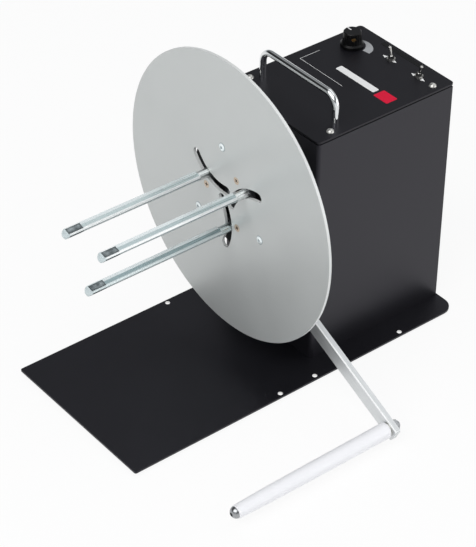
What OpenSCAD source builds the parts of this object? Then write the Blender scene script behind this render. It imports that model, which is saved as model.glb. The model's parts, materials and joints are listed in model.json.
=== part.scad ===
// Powered label unwinder: a steel box on a base plate turns a flange disc with an adjustable core holder.
// Origin: middle of the four outer bolt holes, on the base plate's underside. +X right seen from the
// front, +Y to the back (the core posts point to -Y), +Z up. Millimetres.

/* [Base plate] */
// Width of the base plate, side to side
base_w = 191; // [170:1:260]
// Length of the base plate, front to back
base_l = 408; // [396:1:500]
// Thickness of the base plate's sheet
base_t = 2; // [1.5:0.5:6]
// Radius of the plate's back corners
base_back_r = 15; // [4:1:25]
// Radius of the plate's front corners
base_front_r = 2; // [1:0.5:10]
// Diameter of the bolt holes along the plate's sides
edge_hole_d = 5; // [3:0.5:6]
// Distance of the bolt holes from the plate's sides
edge_hole_inset = 4.5; // [4.5:0.5:10]
// Place of the front pair of bolt holes, from the plate's middle
edge_hole_front_y = -25; // [-60:1:-10]
// Place of the middle pair of bolt holes
edge_hole_mid_y = 19; // [5:1:60]
// Place of the back pair of bolt holes
edge_hole_back_y = 131; // [90:1:150]

/* [Feet] */
// Diameter of a stick-on rubber foot
foot_d = 18; // [10:1:24]
// Height of a foot
foot_h = 3; // [2:0.5:8]
// Distance of the feet from the plate's sides
foot_inset = 18; // [14:1:30]

/* [Housing] */
// Width of the housing
box_w = 137; // [130:1:150]
// Depth of the housing, front to back
box_depth = 170; // [168:1:180]
// Height of the housing above the base plate, top panel included
box_h = 257.4; // [250:0.1:290]
// Distance from the housing's back to the plate's back edge
box_back_gap = 2; // [0:0.5:8]
// Thickness of the folded sheet
sheet_t = 1.5; // [1:0.1:2]
// Outer radius of the two folded front edges
bend_r = 4; // [2.5:0.5:8]
// Width of the inward flanges
flange_w = 10; // [9:0.5:10.5]
// Thickness of the top panel
lid_t = 2; // [1.5:0.1:4]
// Corner radius of the top panel
lid_r = 4; // [2:0.5:8]
// How far the lid stands out over the rear panel
lid_over = 2; // [0:0.5:3]
// Height of the shadow gap between the walls and the top panel's edge
seam = 1.2; // [0.5:0.1:2]
// Distance of the top panel's screws from its sides
lid_screw_inset_x = 9; // [7:0.5:10]
// Distance of the top panel's front screws from its front
lid_screw_front = 22; // [19:0.5:23]
// Distance of the top panel's back screws from its back
lid_screw_back = 18.5; // [16:0.5:24]
// Head diameter of the dome screws
dome_d = 7.6; // [6:0.2:9]
// Head height of the dome screws
dome_h = 2.8; // [1.5:0.1:3.6]

/* [Handle] */
// Distance between the handle's legs
handle_span = 107; // [90:1:108]
// Diameter of the handle's round rod
handle_rod_d = 7; // [6:0.5:9]
// Height of the rod's middle line above the top panel
handle_h = 31; // [26:1:60]
// Bend radius of the rod's middle line
handle_bend_r = 13; // [9:1:18]
// Distance of the handle from the housing's front
handle_y_off = 33; // [30:1:50]

/* [Controls] */
// Place of the knob across the top panel
knob_x = -44; // [-46:1:-36]
// Distance of the knob from the housing's back
knob_back = 31.3; // [24:0.1:40]
// Diameter of the knob's skirt
knob_d = 23.5; // [21.5:0.5:26]
// Diameter of the knob's fluted body at its foot
knob_body_d = 20; // [18:0.5:21]
// Diameter of the knob's fluted body at its top
knob_top_d = 18; // [15:0.5:19]
// Height of the knob
knob_h = 16; // [15:0.5:24]
// Number of flutes round the knob
knob_flutes = 18; // [12:1:24]
// Place of the direction switch across the top panel
direction_x = -0.5; // [-6:0.5:8]
// Place of the torque switch across the top panel
torque_x = 39.5; // [34:0.5:44]
// Distance of the two switches from the housing's back
switch_back = 18.3; // [16:0.1:26]
// Length of a toggle lever above its pivot
lever_l = 11; // [9:0.5:16]
// Tilt of a toggle lever to each side
lever_tilt = 18; // [12:1:20]

/* [Flange disc] */
// Diameter of the flange disc
disc_d = 300; // [250:1:320]
// Thickness of the flange disc
disc_t = 3; // [2:0.5:5]
// Gap between the disc's back and the housing's front
disc_gap = 50.5; // [48:0.5:60]
// Height of the spindle above the base plate
axis_h = 181.3; // [176:0.1:190]
// Diameter of the spindle shaft
shaft_d = 15; // [12:0.5:17]

/* [Core holder] */
// Radius of the circle that the swing arms' pivots lie on
pivot_r = 54.5; // [53:0.5:58]
// Angle of the first pivot, seen from the front
pivot_a = 97.7; // [0:0.1:120]
// Length of a swing arm, from its pivot to its post
arm_l = 46.8; // [44:0.1:47.5]
// Swing of the arms at rest, from pointing at the spindle
arm_rest = 36.8; // [10:0.1:58]
// Swing of the arms at their widest
arm_max = 62; // [58:0.5:64]
// Thickness of a swing arm's plate
arm_t = 4; // [3:0.5:6]
// Diameter of the pivot pins
pivot_pin_d = 8; // [6:0.5:9]
// Thickness of the toothed layer
gear_t = 4.8; // [4:0.2:7]
// Teeth of the sun gear, a multiple of three
sun_teeth = 51; // [48:3:54]
// Teeth of a whole circle of a swing arm's sector
sector_teeth = 58; // [56:1:62]
// Radius of the hub plate behind the arms
hub_r = 64; // [62:1:75]
// Thickness of the hub plate
hub_t = 4; // [3:0.5:6]
// Radius of the circle of the disc's spacers and screws
spacer_r = 31; // [30.5:0.1:31.5]
// Angle of the first spacer, seen from the front
spacer_a = 62; // [58:0.5:66]
// Diameter of a spacer
spacer_d = 7; // [6.5:0.1:7.4]

/* [Core posts] */
// Length of a post in front of the disc
post_l = 168; // [120:1:170]
// Radius of a post's round bar
post_r = 5.6; // [5:0.1:6]
// Distance of a post's three flats from its middle
post_flat = 3.9; // [3.6:0.1:4.5]
// Diameter of a post's turned neck
neck_d = 9; // [7:0.5:9.5]
// Length of the neck in front of the disc
neck_l = 12; // [6:0.5:20]
// Room round the neck in its slot
slot_room = 0.5; // [0.3:0.1:1]
// Length of a rubber grip pad
pad_l = 16; // [12:0.5:30]
// Width of a grip pad
pad_w = 7.6; // [6:0.1:7.8]
// Thickness of a grip pad
pad_t = 0.6; // [0.5:0.05:0.8]
// Distance of a grip pad from the post's tip
pad_from_tip = 4.3; // [4:0.1:12]

/* [Dancer] */
// Distance of the dancer arm's pivot below the spindle
dancer_drop = 76.7; // [74:0.1:80]
// Length of the dancer arm, from its pivot to its roller
dancer_l = 223.8; // [215:0.1:230]
// Height of the roller's axis above the plate's underside, with the arm at rest
roller_h = 11.84; // [9:0.02:20]
// Rise of the dancer arm above level at its upper stop
dancer_rise = 53; // [40:1:54]
// Width of the dancer arm's flat bar
dancer_w = 16; // [12:0.5:18]
// Thickness of the dancer arm's flat bar
dancer_t = 6; // [4:0.5:8]
// Length of the bar past the roller's axle
dancer_tail = 9.5; // [8:0.5:12]
// Corner radius of the bar's ends
dancer_end_r = 2.5; // [1:0.5:6]
// Gap between the dancer arm and the housing's front
dancer_gap = 11.3; // [9:0.1:14]
// Diameter of the dancer arm's pivot shaft
dancer_shaft_d = 10; // [8:0.5:12]
// Diameter of the roller at its thick end
roller_d = 16.6; // [14:0.2:18]
// Diameter of the roller at its free end
roller_tip_d = 13.4; // [12.6:0.2:14]
// Length of the roller
roller_l = 183; // [150:1:190]
// Diameter of the roller's axle
axle_d = 8; // [6:0.5:9]
// Diameter of the stop pins
stop_d = 8; // [6:0.5:10]
// Distance of the stop pins from the dancer's pivot, along the arm
stop_reach = 38; // [34:1:42]

/* [Fits] */
// Radial room of a shaft that turns in a bore
run_fit = 0.05; // [0.02:0.01:0.1]
// Radial room of a fixed pin or screw in its hole
pin_fit = 0.05; // [0.03:0.01:0.2]
// Gap between flat faces that slide past each other
slide_gap = 0.3; // [0.2:0.05:0.6]

/* [Hidden] */
$fn = 64;

// Colours
powder_black = "#26262b";
panel_black = "#242428";
matt_aluminium = "#b6b9b8";
zinc = "#c4cdd0";
steel = "#9a9ea2";
chrome = "#d6d8da";
brass = "#b08d57";
rubber = "#1c1c1e";
white_plastic = "#f1f1f4";
board_green = "#1f5a3c";

// Levels and planes of the frame
plate_z = 0;
plate_y = -(edge_hole_front_y + edge_hole_back_y) / 2;
deck_z = plate_z + base_t;
top_z = deck_z + box_h;
lid_z = top_z - lid_t;
back_y = plate_y + base_l / 2 - box_back_gap;
front_y = back_y - box_depth;
side_x = box_w / 2;
inner_x = side_x - sheet_t;
wall_y = front_y + sheet_t;
axis_z = deck_z + axis_h;

// Small overlap that makes cuts go right through
cut = 1;
// Room between a loose panel's edge and the wall beside it
panel_gap = 0.3;

// Screws: shank and head sizes by thread
m3_r = 1.5;
m4_r = 2;
m5_r = 2.5;
m4_head_r = 3.9;
m4_head_h = 2.4;
m5_head_r = 4.6;
m5_head_h = 2.8;
housing_screw_inset = flange_w / 2;
housing_screw_from_front = 30;
housing_screw_from_back = 30;

// Layers behind the disc, from the front to the back
disc_back_y = front_y - disc_gap;
disc_front_y = disc_back_y - disc_t;
arm_front_y = disc_back_y + slide_gap;
arm_back_y = arm_front_y + arm_t;
gear_front_y = arm_back_y + slide_gap / 2;
gear_back_y = gear_front_y + gear_t;
hub_front_y = gear_back_y + slide_gap;
hub_back_y = hub_front_y + hub_t;
boss_l = 14;
boss_r = shaft_d / 2 + 11;

// Teeth: one module for the sun gear and the three sectors
tooth_m = 2 * pivot_r / (sun_teeth + sector_teeth);
sun_r = tooth_m * sun_teeth / 2;
sector_r = tooth_m * sector_teeth / 2;
tooth_add = 0.9 * tooth_m;
tooth_ded = 1.2 * tooth_m;
tooth_half = 0.2 * PI * tooth_m;
tooth_flank = 20;
sector_margin = 7;
arm_pivot_r = pivot_pin_d / 2 + 5;
arm_end_r = 6;
spigot_r = 3;
slot_w = neck_d + 2 * slot_room;
slot_end_a = 1.5;
pin_head_r = 4.6;
pin_head_h = 1.2;

// Places of the first swing arm's pivot and post, seen from the front
pivot_at = polar(pivot_r, pivot_a);
arm_dir = pivot_a + 180 - arm_rest;
post_at = pivot_at + polar(arm_l, arm_dir);
flat_a = 75;
tip_y = disc_front_y - post_l;
dome_r = post_r + 0.3;
pocket_depth = 0.5;
pocket_room = 0.15;

// Dancer arm: its pivot, its planes and its roller
dancer_z = axis_z - dancer_drop;
dancer_fall = asin((dancer_z - roller_h) / dancer_l);
dancer_back_y = front_y - dancer_gap;
dancer_front_y = dancer_back_y - dancer_t;
dancer_pivot_r = dancer_w / 2 + 3;
washer_t = 1.5;
axle_nut_r = 6.4;
axle_tail = 5.5;
roller_back_y = dancer_front_y - washer_t - slide_gap;
roller_front_y = roller_back_y - roller_l;
stop_room = 0.3;
bush_r = dancer_shaft_d / 2 + 3;
bush_flange_r = bush_r + 5;
bush_in = 10;
collar_w = 5;

// Spindle housing, bearings, coupling and motor, front to back inside the box
bearing_r = 16;
bearing_w = 9;
nose_l = 30;
lantern_r = shaft_d / 2 + 11;
nose_r = max(bearing_r + 6, lantern_r + 3.5);
flange_plate = 62;
flange_plate_t = 6;
flange_hole = 25;
bearing_front_y = wall_y + 1;
nose_back_y = wall_y + nose_l;
shaft_back_y = nose_back_y + 17.5;
coupling_front_y = nose_back_y + 3.5;
coupling_l = 30;
coupling_r = shaft_d / 2 + 8.5;
motor_shaft_r = 5;
bracket_y = coupling_front_y + coupling_l + 7;
bracket_t = 4;
bracket_w = 78;
bracket_foot_l = 46;
gearbox_w = 60;
gearbox_l = 30;
motor_r = 25;
motor_cap_l = 3;
motor_back_gap = 7.5;
motor_l = back_y - sheet_t - motor_back_gap - motor_cap_l - bracket_y - bracket_t - gearbox_l;
motor_hole = 24;

// Controls under and over the top panel
knob_y = back_y - knob_back;
switch_y = back_y - switch_back;
pot_r = 12;
pot_h = 11;
pot_bush_r = 3.5;
pot_bush_h = 5;
pot_shaft_r = 3;
pot_nut_r = 6;
pot_nut_h = 2;
knob_lift = 0.8;
knob_skirt_h = 4;
set_screw_r = 2;
set_screw_a = -31.5;
set_screw_z = 10.6;
pointer_a = 176;
toggle_bush_r = 3;
toggle_bush_h = 4.5;
toggle_bore_r = 2.3;
toggle_ball_r = 1.95;
toggle_nut_r = 4.6;
toggle_nut_h = 2;
toggle_body = [13, 8, 10];
lever_z = top_z + toggle_bush_h - 1;
handle_y = front_y + handle_y_off;

// Control board on the left wall
board_t = 1.6;
board_front_gap = 66;
board_back_gap = 14;
board_y = front_y + board_front_gap;
board_l = box_depth - board_front_gap - board_back_gap;
board_z = deck_z + 40;
board_h = 110;
board_off = 8;
board_hole = 5;
board_x = -inner_x + board_off;

// Power inlet in the rear panel
inlet_x = 40;
inlet_z = deck_z + 30;
inlet_r = 5.5;
inlet_flange_r = 7.5;
inlet_bore_r = 2.8;
inlet_l = 14;
inlet_flange_t = 2;

function polar(r, a) = [r * cos(a), r * sin(a)];

// Draws a shape in the XZ plane, seen from the front, and extrudes it from y0 back to y1
module along_y(y0, y1) {
    translate([0, y1, 0])
        rotate([90, 0, 0])
            linear_extrude(y1 - y0)
                children();
}

// A round bar along Y at a place in the XZ plane
module rod_y(at, r, y0, y1) {
    translate([at[0], y1, at[1]])
        rotate([90, 0, 0])
            cylinder(h = y1 - y0, r = r);
}

// A round bar along Z at a place in the XY plane
module rod_z(at, r, z0, z1) {
    translate([at[0], at[1], z0])
        cylinder(h = z1 - z0, r = r);
}

// Countersunk screw along Y, head at y0 and flush with it
module countersunk_y(at, r, head_r, y0, y1) {
    rod_y(at, r, y0, y1);
    translate([at[0], y0, at[1]])
        rotate([-90, 0, 0])
            cylinder(h = head_r - r, r1 = head_r, r2 = r);
}

// Countersunk screw along Z, head at z0 and flush with it
module countersunk_z(at, r, head_r, z0, z1) {
    rod_z(at, r, z0, z1);
    translate([at[0], at[1], z0])
        cylinder(h = head_r - r, r1 = head_r, r2 = r);
}

// The cap of a sphere, a dome of the given radius and height, standing on z = 0
module dome(r, h) {
    ball_r = (r * r + h * h) / (2 * h);
    intersection() {
        translate([0, 0, h - ball_r])
            sphere(r = ball_r);
        cylinder(h = h + cut, r = r);
    }
}

// A rectangle, from y = 0 to d, with its front corners of radius rf and its back corners of radius rb
module rounded_plan(w, d, rf, rb) {
    translate([-w / 2, rf])
        square([w, d - rf - rb]);
    translate([-w / 2 + rf, 0])
        square([w - 2 * rf, d / 2]);
    translate([-w / 2 + rb, d / 2])
        square([w - 2 * rb, d / 2]);
    for (s = [-1, 1]) {
        translate([s * (w / 2 - rf), rf])
            circle(r = rf);
        translate([s * (w / 2 - rb), d - rb])
            circle(r = rb);
    }
}

// The four corners of a rectangle about a middle
function corners(x, y) = [[-x, -y], [x, -y], [x, y], [-x, y]];

// Screws that hold the housing's bottom flanges, from below the plate
housing_screw_at = [
    for (s = [-1, 1], y = [front_y + housing_screw_from_front, back_y - housing_screw_from_back])
        [s * (inner_x - housing_screw_inset), y]
];
bracket_screw_at = [
    for (s = [-1, 1], y = [0.35, 0.8])
        [s * bracket_w * 0.36, bracket_y + bracket_foot_l * y]
];
lid_screw_at = [
    for (s = [-1, 1], y = [front_y + lid_screw_front, back_y - lid_screw_back])
        [s * (side_x - lid_screw_inset_x), y]
];
edge_hole_at = [
    for (s = [-1, 1], y = [edge_hole_front_y, edge_hole_mid_y, edge_hole_back_y])
        [s * (base_w / 2 - edge_hole_inset), plate_y + y]
];
rear_screw_at = [
    for (s = [-1, 1], z = [deck_z + 30, lid_z - 30])
        [s * (inner_x - flange_w / 2), z]
];

// Base plate: one flat sheet with bolt holes along its sides
module base_plate() {
    color(powder_black)
        translate([0, 0, plate_z])
            difference() {
                translate([0, plate_y - base_l / 2, 0])
                    linear_extrude(base_t)
                        rounded_plan(base_w, base_l, base_front_r, base_back_r);
                for (p = edge_hole_at)
                    rod_z(p, edge_hole_d / 2, -cut, base_t + cut);
                for (p = concat(housing_screw_at, bracket_screw_at))
                    countersunk_z(p, m4_r + pin_fit, m4_head_r + pin_fit, 0, base_t + cut);
            }
}

// Four stick-on rubber feet with a rounded lower edge
module rubber_feet() {
    edge = foot_h / 3;
    color(rubber)
        for (p = corners(base_w / 2 - foot_inset, base_l / 2 - foot_inset))
            translate([p[0], plate_y + p[1], plate_z - foot_h])
                rotate_extrude() {
                    square([foot_d / 2 - edge, foot_h]);
                    translate([0, edge])
                        square([foot_d / 2, foot_h - edge]);
                    translate([foot_d / 2 - edge, edge])
                        circle(r = edge);
                }
}

// Housing: front and side walls folded from one sheet, with flanges for the plate, the lid and the rear
module housing() {
    wall_h = lid_z - seam - deck_z;
    tab_h = sheet_t + seam;
    flange_plan_d = box_depth - sheet_t;
    tab_l = 12;
    tab_w = 9;
    color(powder_black)
        difference() {
            union() {
                translate([0, front_y, deck_z])
                    linear_extrude(wall_h)
                        difference() {
                            rounded_plan(box_w, box_depth, bend_r, 0.01);
                            translate([0, sheet_t])
                                rounded_plan(box_w - 2 * sheet_t, box_depth + cut, bend_r - sheet_t, 0.01);
                        }
                translate([0, front_y + sheet_t / 2, deck_z])
                    linear_extrude(sheet_t)
                        difference() {
                            rounded_plan(box_w - sheet_t, flange_plan_d - panel_gap - sheet_t / 2,
                                         bend_r - sheet_t / 2, 0.01);
                            translate([0, flange_w])
                                rounded_plan(box_w - 2 * sheet_t - 2 * flange_w, box_depth,
                                             bend_r - sheet_t, 0.01);
                        }
                translate([-inner_x + bend_r, wall_y - sheet_t / 2, lid_z - tab_h])
                    cube([2 * (inner_x - bend_r), flange_w + sheet_t / 2, sheet_t]);
                translate([-inner_x + bend_r, wall_y, lid_z - tab_h])
                    cube([2 * (inner_x - bend_r), flange_w, tab_h]);
                for (p = lid_screw_at)
                    for (out = [0, sheet_t / 2])
                        translate([p[0] > 0 ? p[0] - tab_w / 2 : -inner_x - out,
                                   p[1] - tab_l / 2, lid_z - tab_h])
                            cube([inner_x + out - abs(p[0]) + tab_w / 2, tab_l, out > 0 ? sheet_t : tab_h]);
                for (s = [-1, 1])
                    translate([s * (inner_x - flange_w / 2 + sheet_t / 4), back_y - 1.5 * sheet_t - panel_gap,
                               deck_z + wall_h / 2])
                        cube([flange_w + sheet_t / 2, sheet_t, wall_h], center = true);
            }
            rod_y([0, axis_z], shaft_d / 2 + 3, front_y - cut, wall_y + cut);
            rod_y([0, dancer_z], bush_r + pin_fit, front_y - cut, wall_y + cut);
            for (p = stop_at)
                rod_y(p, m5_r + pin_fit, front_y - cut, wall_y + cut);
            for (p = corners(flange_hole, flange_hole))
                rod_y([p[0], axis_z + p[1]], m5_r + pin_fit, front_y - cut, wall_y + cut);
            for (p = housing_screw_at)
                rod_z(p, m4_r + pin_fit, deck_z - cut, deck_z + sheet_t + cut);
            for (p = lid_screw_at)
                rod_z(p, m4_r + pin_fit, lid_z - tab_h - cut, lid_z + cut);
            for (p = rear_screw_at)
                rod_y(p, m4_r + pin_fit, back_y - 2 * sheet_t - panel_gap - cut, back_y);
        }
}

// Countersunk screws up through the plate into the housing's bottom flanges
module housing_screws() {
    color(steel)
        for (p = housing_screw_at)
            countersunk_z(p, m4_r, m4_head_r, plate_z, deck_z + sheet_t + 3);
}

// Rear panel: a flat sheet between the side walls, with the power inlet's hole
module rear_panel() {
    color(powder_black)
        difference() {
            along_y(back_y - sheet_t, back_y)
                translate([-inner_x + panel_gap, deck_z + panel_gap])
                    square([2 * (inner_x - panel_gap), lid_z - seam - deck_z - panel_gap]);
            rod_y([inlet_x, inlet_z], inlet_r + pin_fit, back_y - sheet_t - cut, back_y + cut);
            for (p = rear_screw_at)
                rod_y(p, m4_r + pin_fit, back_y - sheet_t - cut, back_y + cut);
        }
}

// Dome-head screws that hold the rear panel
module rear_panel_screws() {
    color(steel)
        for (p = rear_screw_at) {
            rod_y(p, m4_r, back_y - 2 * sheet_t - panel_gap - 3, back_y);
            translate([p[0], back_y, p[1]])
                rotate([-90, 0, 0])
                    dome(dome_d / 2, dome_h);
        }
}

// Top panel: a flat lid with rounded corners, which carries the handle and the controls
module top_panel() {
    color(panel_black)
        difference() {
            translate([0, front_y, lid_z])
                linear_extrude(lid_t)
                    rounded_plan(box_w, box_depth + lid_over, lid_r, lid_r);
            for (p = lid_screw_at)
                rod_z(p, m4_r + pin_fit, lid_z - cut, top_z + cut);
            for (s = [-1, 1])
                rod_z([s * handle_span / 2, handle_y], m4_r + pin_fit, lid_z - cut, top_z + cut);
            rod_z([knob_x, knob_y], pot_bush_r + pin_fit, lid_z - cut, top_z + cut);
            for (x = [direction_x, torque_x])
                rod_z([x, switch_y], toggle_bush_r + pin_fit, lid_z - cut, top_z + cut);
        }
}

// Dome-head screws at the top panel's corners
module top_panel_screws() {
    color(chrome)
        for (p = lid_screw_at) {
            rod_z(p, m4_r, lid_z - seam - sheet_t - 3, top_z);
            translate([p[0], p[1], top_z])
                dome(dome_d / 2, dome_h);
        }
}

// Carry handle: one round rod bent to a U, drilled for a screw in each leg
module carry_handle() {
    leg_h = handle_h - handle_bend_r;
    half = handle_span / 2;
    color(chrome)
        translate([0, handle_y, top_z])
            difference() {
                union() {
                    for (s = [-1, 1])
                        mirror([s < 0 ? 1 : 0, 0, 0]) {
                            translate([half, 0, 0])
                                cylinder(h = leg_h, d = handle_rod_d);
                            translate([half - handle_bend_r, 0, leg_h])
                                rotate([90, 0, 0])
                                    rotate_extrude(angle = 90)
                                        translate([handle_bend_r, 0])
                                            circle(d = handle_rod_d);
                        }
                    translate([-half + handle_bend_r, 0, handle_h])
                        rotate([0, 90, 0])
                            cylinder(h = handle_span - 2 * handle_bend_r, d = handle_rod_d);
                }
                for (s = [-1, 1])
                    translate([s * half, 0, -cut])
                        cylinder(h = 12 + cut, r = m4_r + pin_fit);
            }
}

// Screws that hold the handle's legs from below the top panel
module handle_screws() {
    color(steel)
        for (s = [-1, 1]) {
            at = [s * handle_span / 2, handle_y];
            rod_z(at, m4_r, lid_z - m4_head_h, top_z + 10);
            rod_z(at, m4_head_r, lid_z - m4_head_h, lid_z);
        }
}

// Potentiometer under the top panel: a round can, three tags and a bushing through the panel
module potentiometer() {
    color(steel)
        difference() {
            union() {
                rod_z([knob_x, knob_y], pot_r, lid_z - pot_h, lid_z);
                rod_z([knob_x, knob_y], pot_bush_r, lid_z - 1, top_z + pot_bush_h);
                for (i = [-1:1])
                    translate([knob_x + i * 5 - 1, knob_y - pot_r - 5, lid_z - pot_h + 2])
                        cube([2, 7, 1]);
            }
            rod_z([knob_x, knob_y], pot_shaft_r + run_fit, lid_z - pot_h + 2, top_z + pot_bush_h + cut);
        }
}

// A toggle switch: its case and tags under the panel, and a hollow bushing through it
module toggle_switch(x) {
    case_z = lid_z - toggle_body[2];
    color(steel)
        difference() {
            union() {
                translate([x - toggle_body[0] / 2, switch_y - toggle_body[1] / 2, case_z])
                    cube(toggle_body);
                rod_z([x, switch_y], toggle_bush_r, lid_z - 1, top_z + toggle_bush_h);
                for (i = [-1:1])
                    translate([x + i * 4 - 1, switch_y - 0.4, case_z - 4])
                        cube([2, 0.8, 5]);
            }
            rod_z([x, switch_y], toggle_bore_r, lever_z - toggle_ball_r - 0.3, top_z + toggle_bush_h + cut);
            translate([x, switch_y, lever_z])
                cylinder(h = toggle_bush_h, r1 = toggle_ball_r - 0.3, r2 = toggle_ball_r + toggle_bush_h * 0.8);
        }
}

module direction_switch() {
    toggle_switch(direction_x);
}

module torque_switch() {
    toggle_switch(torque_x);
}

// Hexagon nuts that hold the potentiometer and the two switches on the panel
module control_nuts() {
    color(zinc) {
        translate([knob_x, knob_y, top_z])
            difference() {
                cylinder(h = pot_nut_h, r = pot_nut_r, $fn = 6);
                translate([0, 0, -cut])
                    cylinder(h = pot_nut_h + 2 * cut, r = pot_bush_r + pin_fit);
            }
        for (x = [direction_x, torque_x])
            translate([x, switch_y, top_z])
                difference() {
                    cylinder(h = toggle_nut_h, r = toggle_nut_r, $fn = 6);
                    translate([0, 0, -cut])
                        cylinder(h = toggle_nut_h + 2 * cut, r = toggle_bush_r + pin_fit);
                }
    }
}

// Spindle housing: a square flange on the front wall, a nose with two bearing seats, and behind it a
// lantern round the coupling, which reaches back to the motor bracket
module spindle_housing() {
    nose_mid_r = bearing_r - 3;
    color(matt_aluminium)
        difference() {
            union() {
                along_y(wall_y, wall_y + flange_plate_t)
                    translate([0, axis_z])
                        square(flange_plate, center = true);
                rod_y([0, axis_z], nose_r, wall_y, bracket_y);
            }
            rod_y([0, axis_z], lantern_r, nose_back_y, bracket_y + cut);
            rod_y([0, axis_z], nose_mid_r, wall_y - cut, nose_back_y + cut);
            rod_y([0, axis_z], bearing_r + pin_fit, wall_y - cut, bearing_front_y + bearing_w);
            rod_y([0, axis_z], bearing_r + pin_fit, nose_back_y - bearing_w, nose_back_y + cut);
            for (p = corners(flange_hole, flange_hole))
                rod_y([p[0], axis_z + p[1]], m5_r + pin_fit, wall_y - cut, wall_y + flange_plate_t + cut);
        }
}

// Button-head screws through the front wall into the spindle housing
module spindle_housing_screws() {
    color(steel)
        for (p = corners(flange_hole, flange_hole)) {
            at = [p[0], axis_z + p[1]];
            rod_y(at, m5_r, front_y, wall_y + flange_plate_t);
            translate([at[0], front_y, at[1]])
                rotate([90, 0, 0])
                    dome(m5_head_r, m5_head_h);
        }
}

// A ball bearing as one ring with a groove in each face between its races
module bearing(y0) {
    groove_in = shaft_d / 2 + 2.6;
    groove_out = bearing_r - 2.6;
    color(steel)
        difference() {
            rod_y([0, axis_z], bearing_r, y0, y0 + bearing_w);
            rod_y([0, axis_z], shaft_d / 2 + run_fit, y0 - cut, y0 + bearing_w + cut);
            for (y = [y0 - cut, y0 + bearing_w - 0.8])
                difference() {
                    rod_y([0, axis_z], groove_out, y, y + 0.8 + cut);
                    rod_y([0, axis_z], groove_in, y - cut, y + 0.8 + 2 * cut);
                }
        }
}

module front_bearing() {
    bearing(bearing_front_y);
}

module rear_bearing() {
    bearing(nose_back_y - bearing_w);
}

// Gear motor: a square gearbox with its output bore, a round motor and its end cap
module gear_motor() {
    gear_y = bracket_y + bracket_t;
    color(steel)
        difference() {
            union() {
                along_y(gear_y, gear_y + gearbox_l)
                    translate([0, axis_z - gearbox_w / 2])
                        rounded_plan(gearbox_w, gearbox_w, 6, 6);
                rod_y([0, axis_z], motor_r, gear_y + gearbox_l, gear_y + gearbox_l + motor_l);
                rod_y([0, axis_z], motor_r - 8, gear_y + gearbox_l + motor_l, gear_y + gearbox_l + motor_l + motor_cap_l);
            }
            rod_y([0, axis_z], motor_shaft_r + run_fit, gear_y - cut, gear_y + gearbox_l / 2);
            for (p = corners(motor_hole, motor_hole))
                rod_y([p[0], axis_z + p[1]], m4_r + pin_fit, gear_y - cut, gear_y + 10);
        }
}

// Motor bracket: an angle of thick sheet with a gusset on each side, screwed to the base plate
module motor_bracket() {
    bracket_top = axis_z + gearbox_w / 2 + 8;
    color(zinc)
        difference() {
            union() {
                along_y(bracket_y, bracket_y + bracket_t)
                    translate([-bracket_w / 2, deck_z])
                        square([bracket_w, bracket_top - deck_z]);
                translate([-bracket_w / 2, bracket_y, deck_z])
                    cube([bracket_w, bracket_foot_l, bracket_t]);
                for (s = [-1, 1])
                    translate([s * (bracket_w / 2 - bracket_t / 2) - bracket_t / 2, bracket_y, deck_z])
                        rotate([90, 0, 90])
                            linear_extrude(bracket_t)
                                polygon([[0, 0], [bracket_foot_l, 0], [bracket_foot_l, bracket_t],
                                         [bracket_t, axis_h - gearbox_w / 2], [0, axis_h - gearbox_w / 2]]);
            }
            rod_y([0, axis_z], motor_shaft_r + 7, bracket_y - cut, bracket_y + bracket_t + cut);
            for (p = corners(motor_hole, motor_hole))
                rod_y([p[0], axis_z + p[1]], m4_r + pin_fit, bracket_y - cut, bracket_y + bracket_t + cut);
            for (p = bracket_screw_at)
                rod_z(p, m4_r + pin_fit, deck_z - cut, deck_z + bracket_t + cut);
        }
}

// Screws through the bracket into the gearbox
module motor_screws() {
    color(steel)
        for (p = corners(motor_hole, motor_hole)) {
            at = [p[0], axis_z + p[1]];
            rod_y(at, m4_r, bracket_y, bracket_y + bracket_t + 8);
            rod_y(at, m4_head_r, bracket_y - 3, bracket_y);
        }
}

// Countersunk screws up through the plate into the bracket's foot
module bracket_screws() {
    color(steel)
        for (p = bracket_screw_at)
            countersunk_z(p, m4_r, m4_head_r, plate_z, deck_z + bracket_t + 2);
}

// Places of the control board's four fixing holes, from front to back and up
board_hole_at = [
    for (y = [board_hole, board_l - board_hole], z = [board_hole, board_h - board_hole])
        [board_y + y, board_z + z]
];

// Control board on the left wall
module control_board() {
    color(board_green)
        difference() {
            translate([board_x, board_y, board_z])
                cube([board_t, board_l, board_h]);
            for (p = board_hole_at)
                translate([board_x - cut, p[0], p[1]])
                    rotate([0, 90, 0])
                        cylinder(h = board_t + 2 * cut, r = m3_r + pin_fit);
        }
}

// Spacers between the left wall and the control board, each with its screw
module board_standoffs() {
    color(brass)
        for (p = board_hole_at)
            translate([-inner_x, p[0], p[1]])
                rotate([0, 90, 0]) {
                    cylinder(h = board_off, r = 3, $fn = 6);
                    cylinder(h = board_off + board_t, r = m3_r);
                    translate([0, 0, board_off + board_t])
                        dome(2.8, 1.8);
                }
}

// The board's heat sink, capacitors and terminal block
module board_parts() {
    face_x = board_x + board_t;
    sink = [14, 40, 30];
    fins = 5;
    fin_t = 2;
    fin_step = (sink[1] - fin_t) / (fins - 1);
    color("#3a3c40") {
        translate([face_x, board_y + 20, board_z + 60]) {
            cube([3, sink[1], sink[2]]);
            for (i = [0:fins - 1])
                translate([0, i * fin_step, 0])
                    cube([sink[0], fin_t, sink[2]]);
        }
        for (i = [0:1])
            translate([face_x, board_y + 28 + i * 18, board_z + 40])
                rotate([0, 90, 0])
                    cylinder(h = 16, r = 6);
        translate([face_x, board_y + 20, board_z + 12])
            cube([9, 46, 10]);
    }
}

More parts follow.
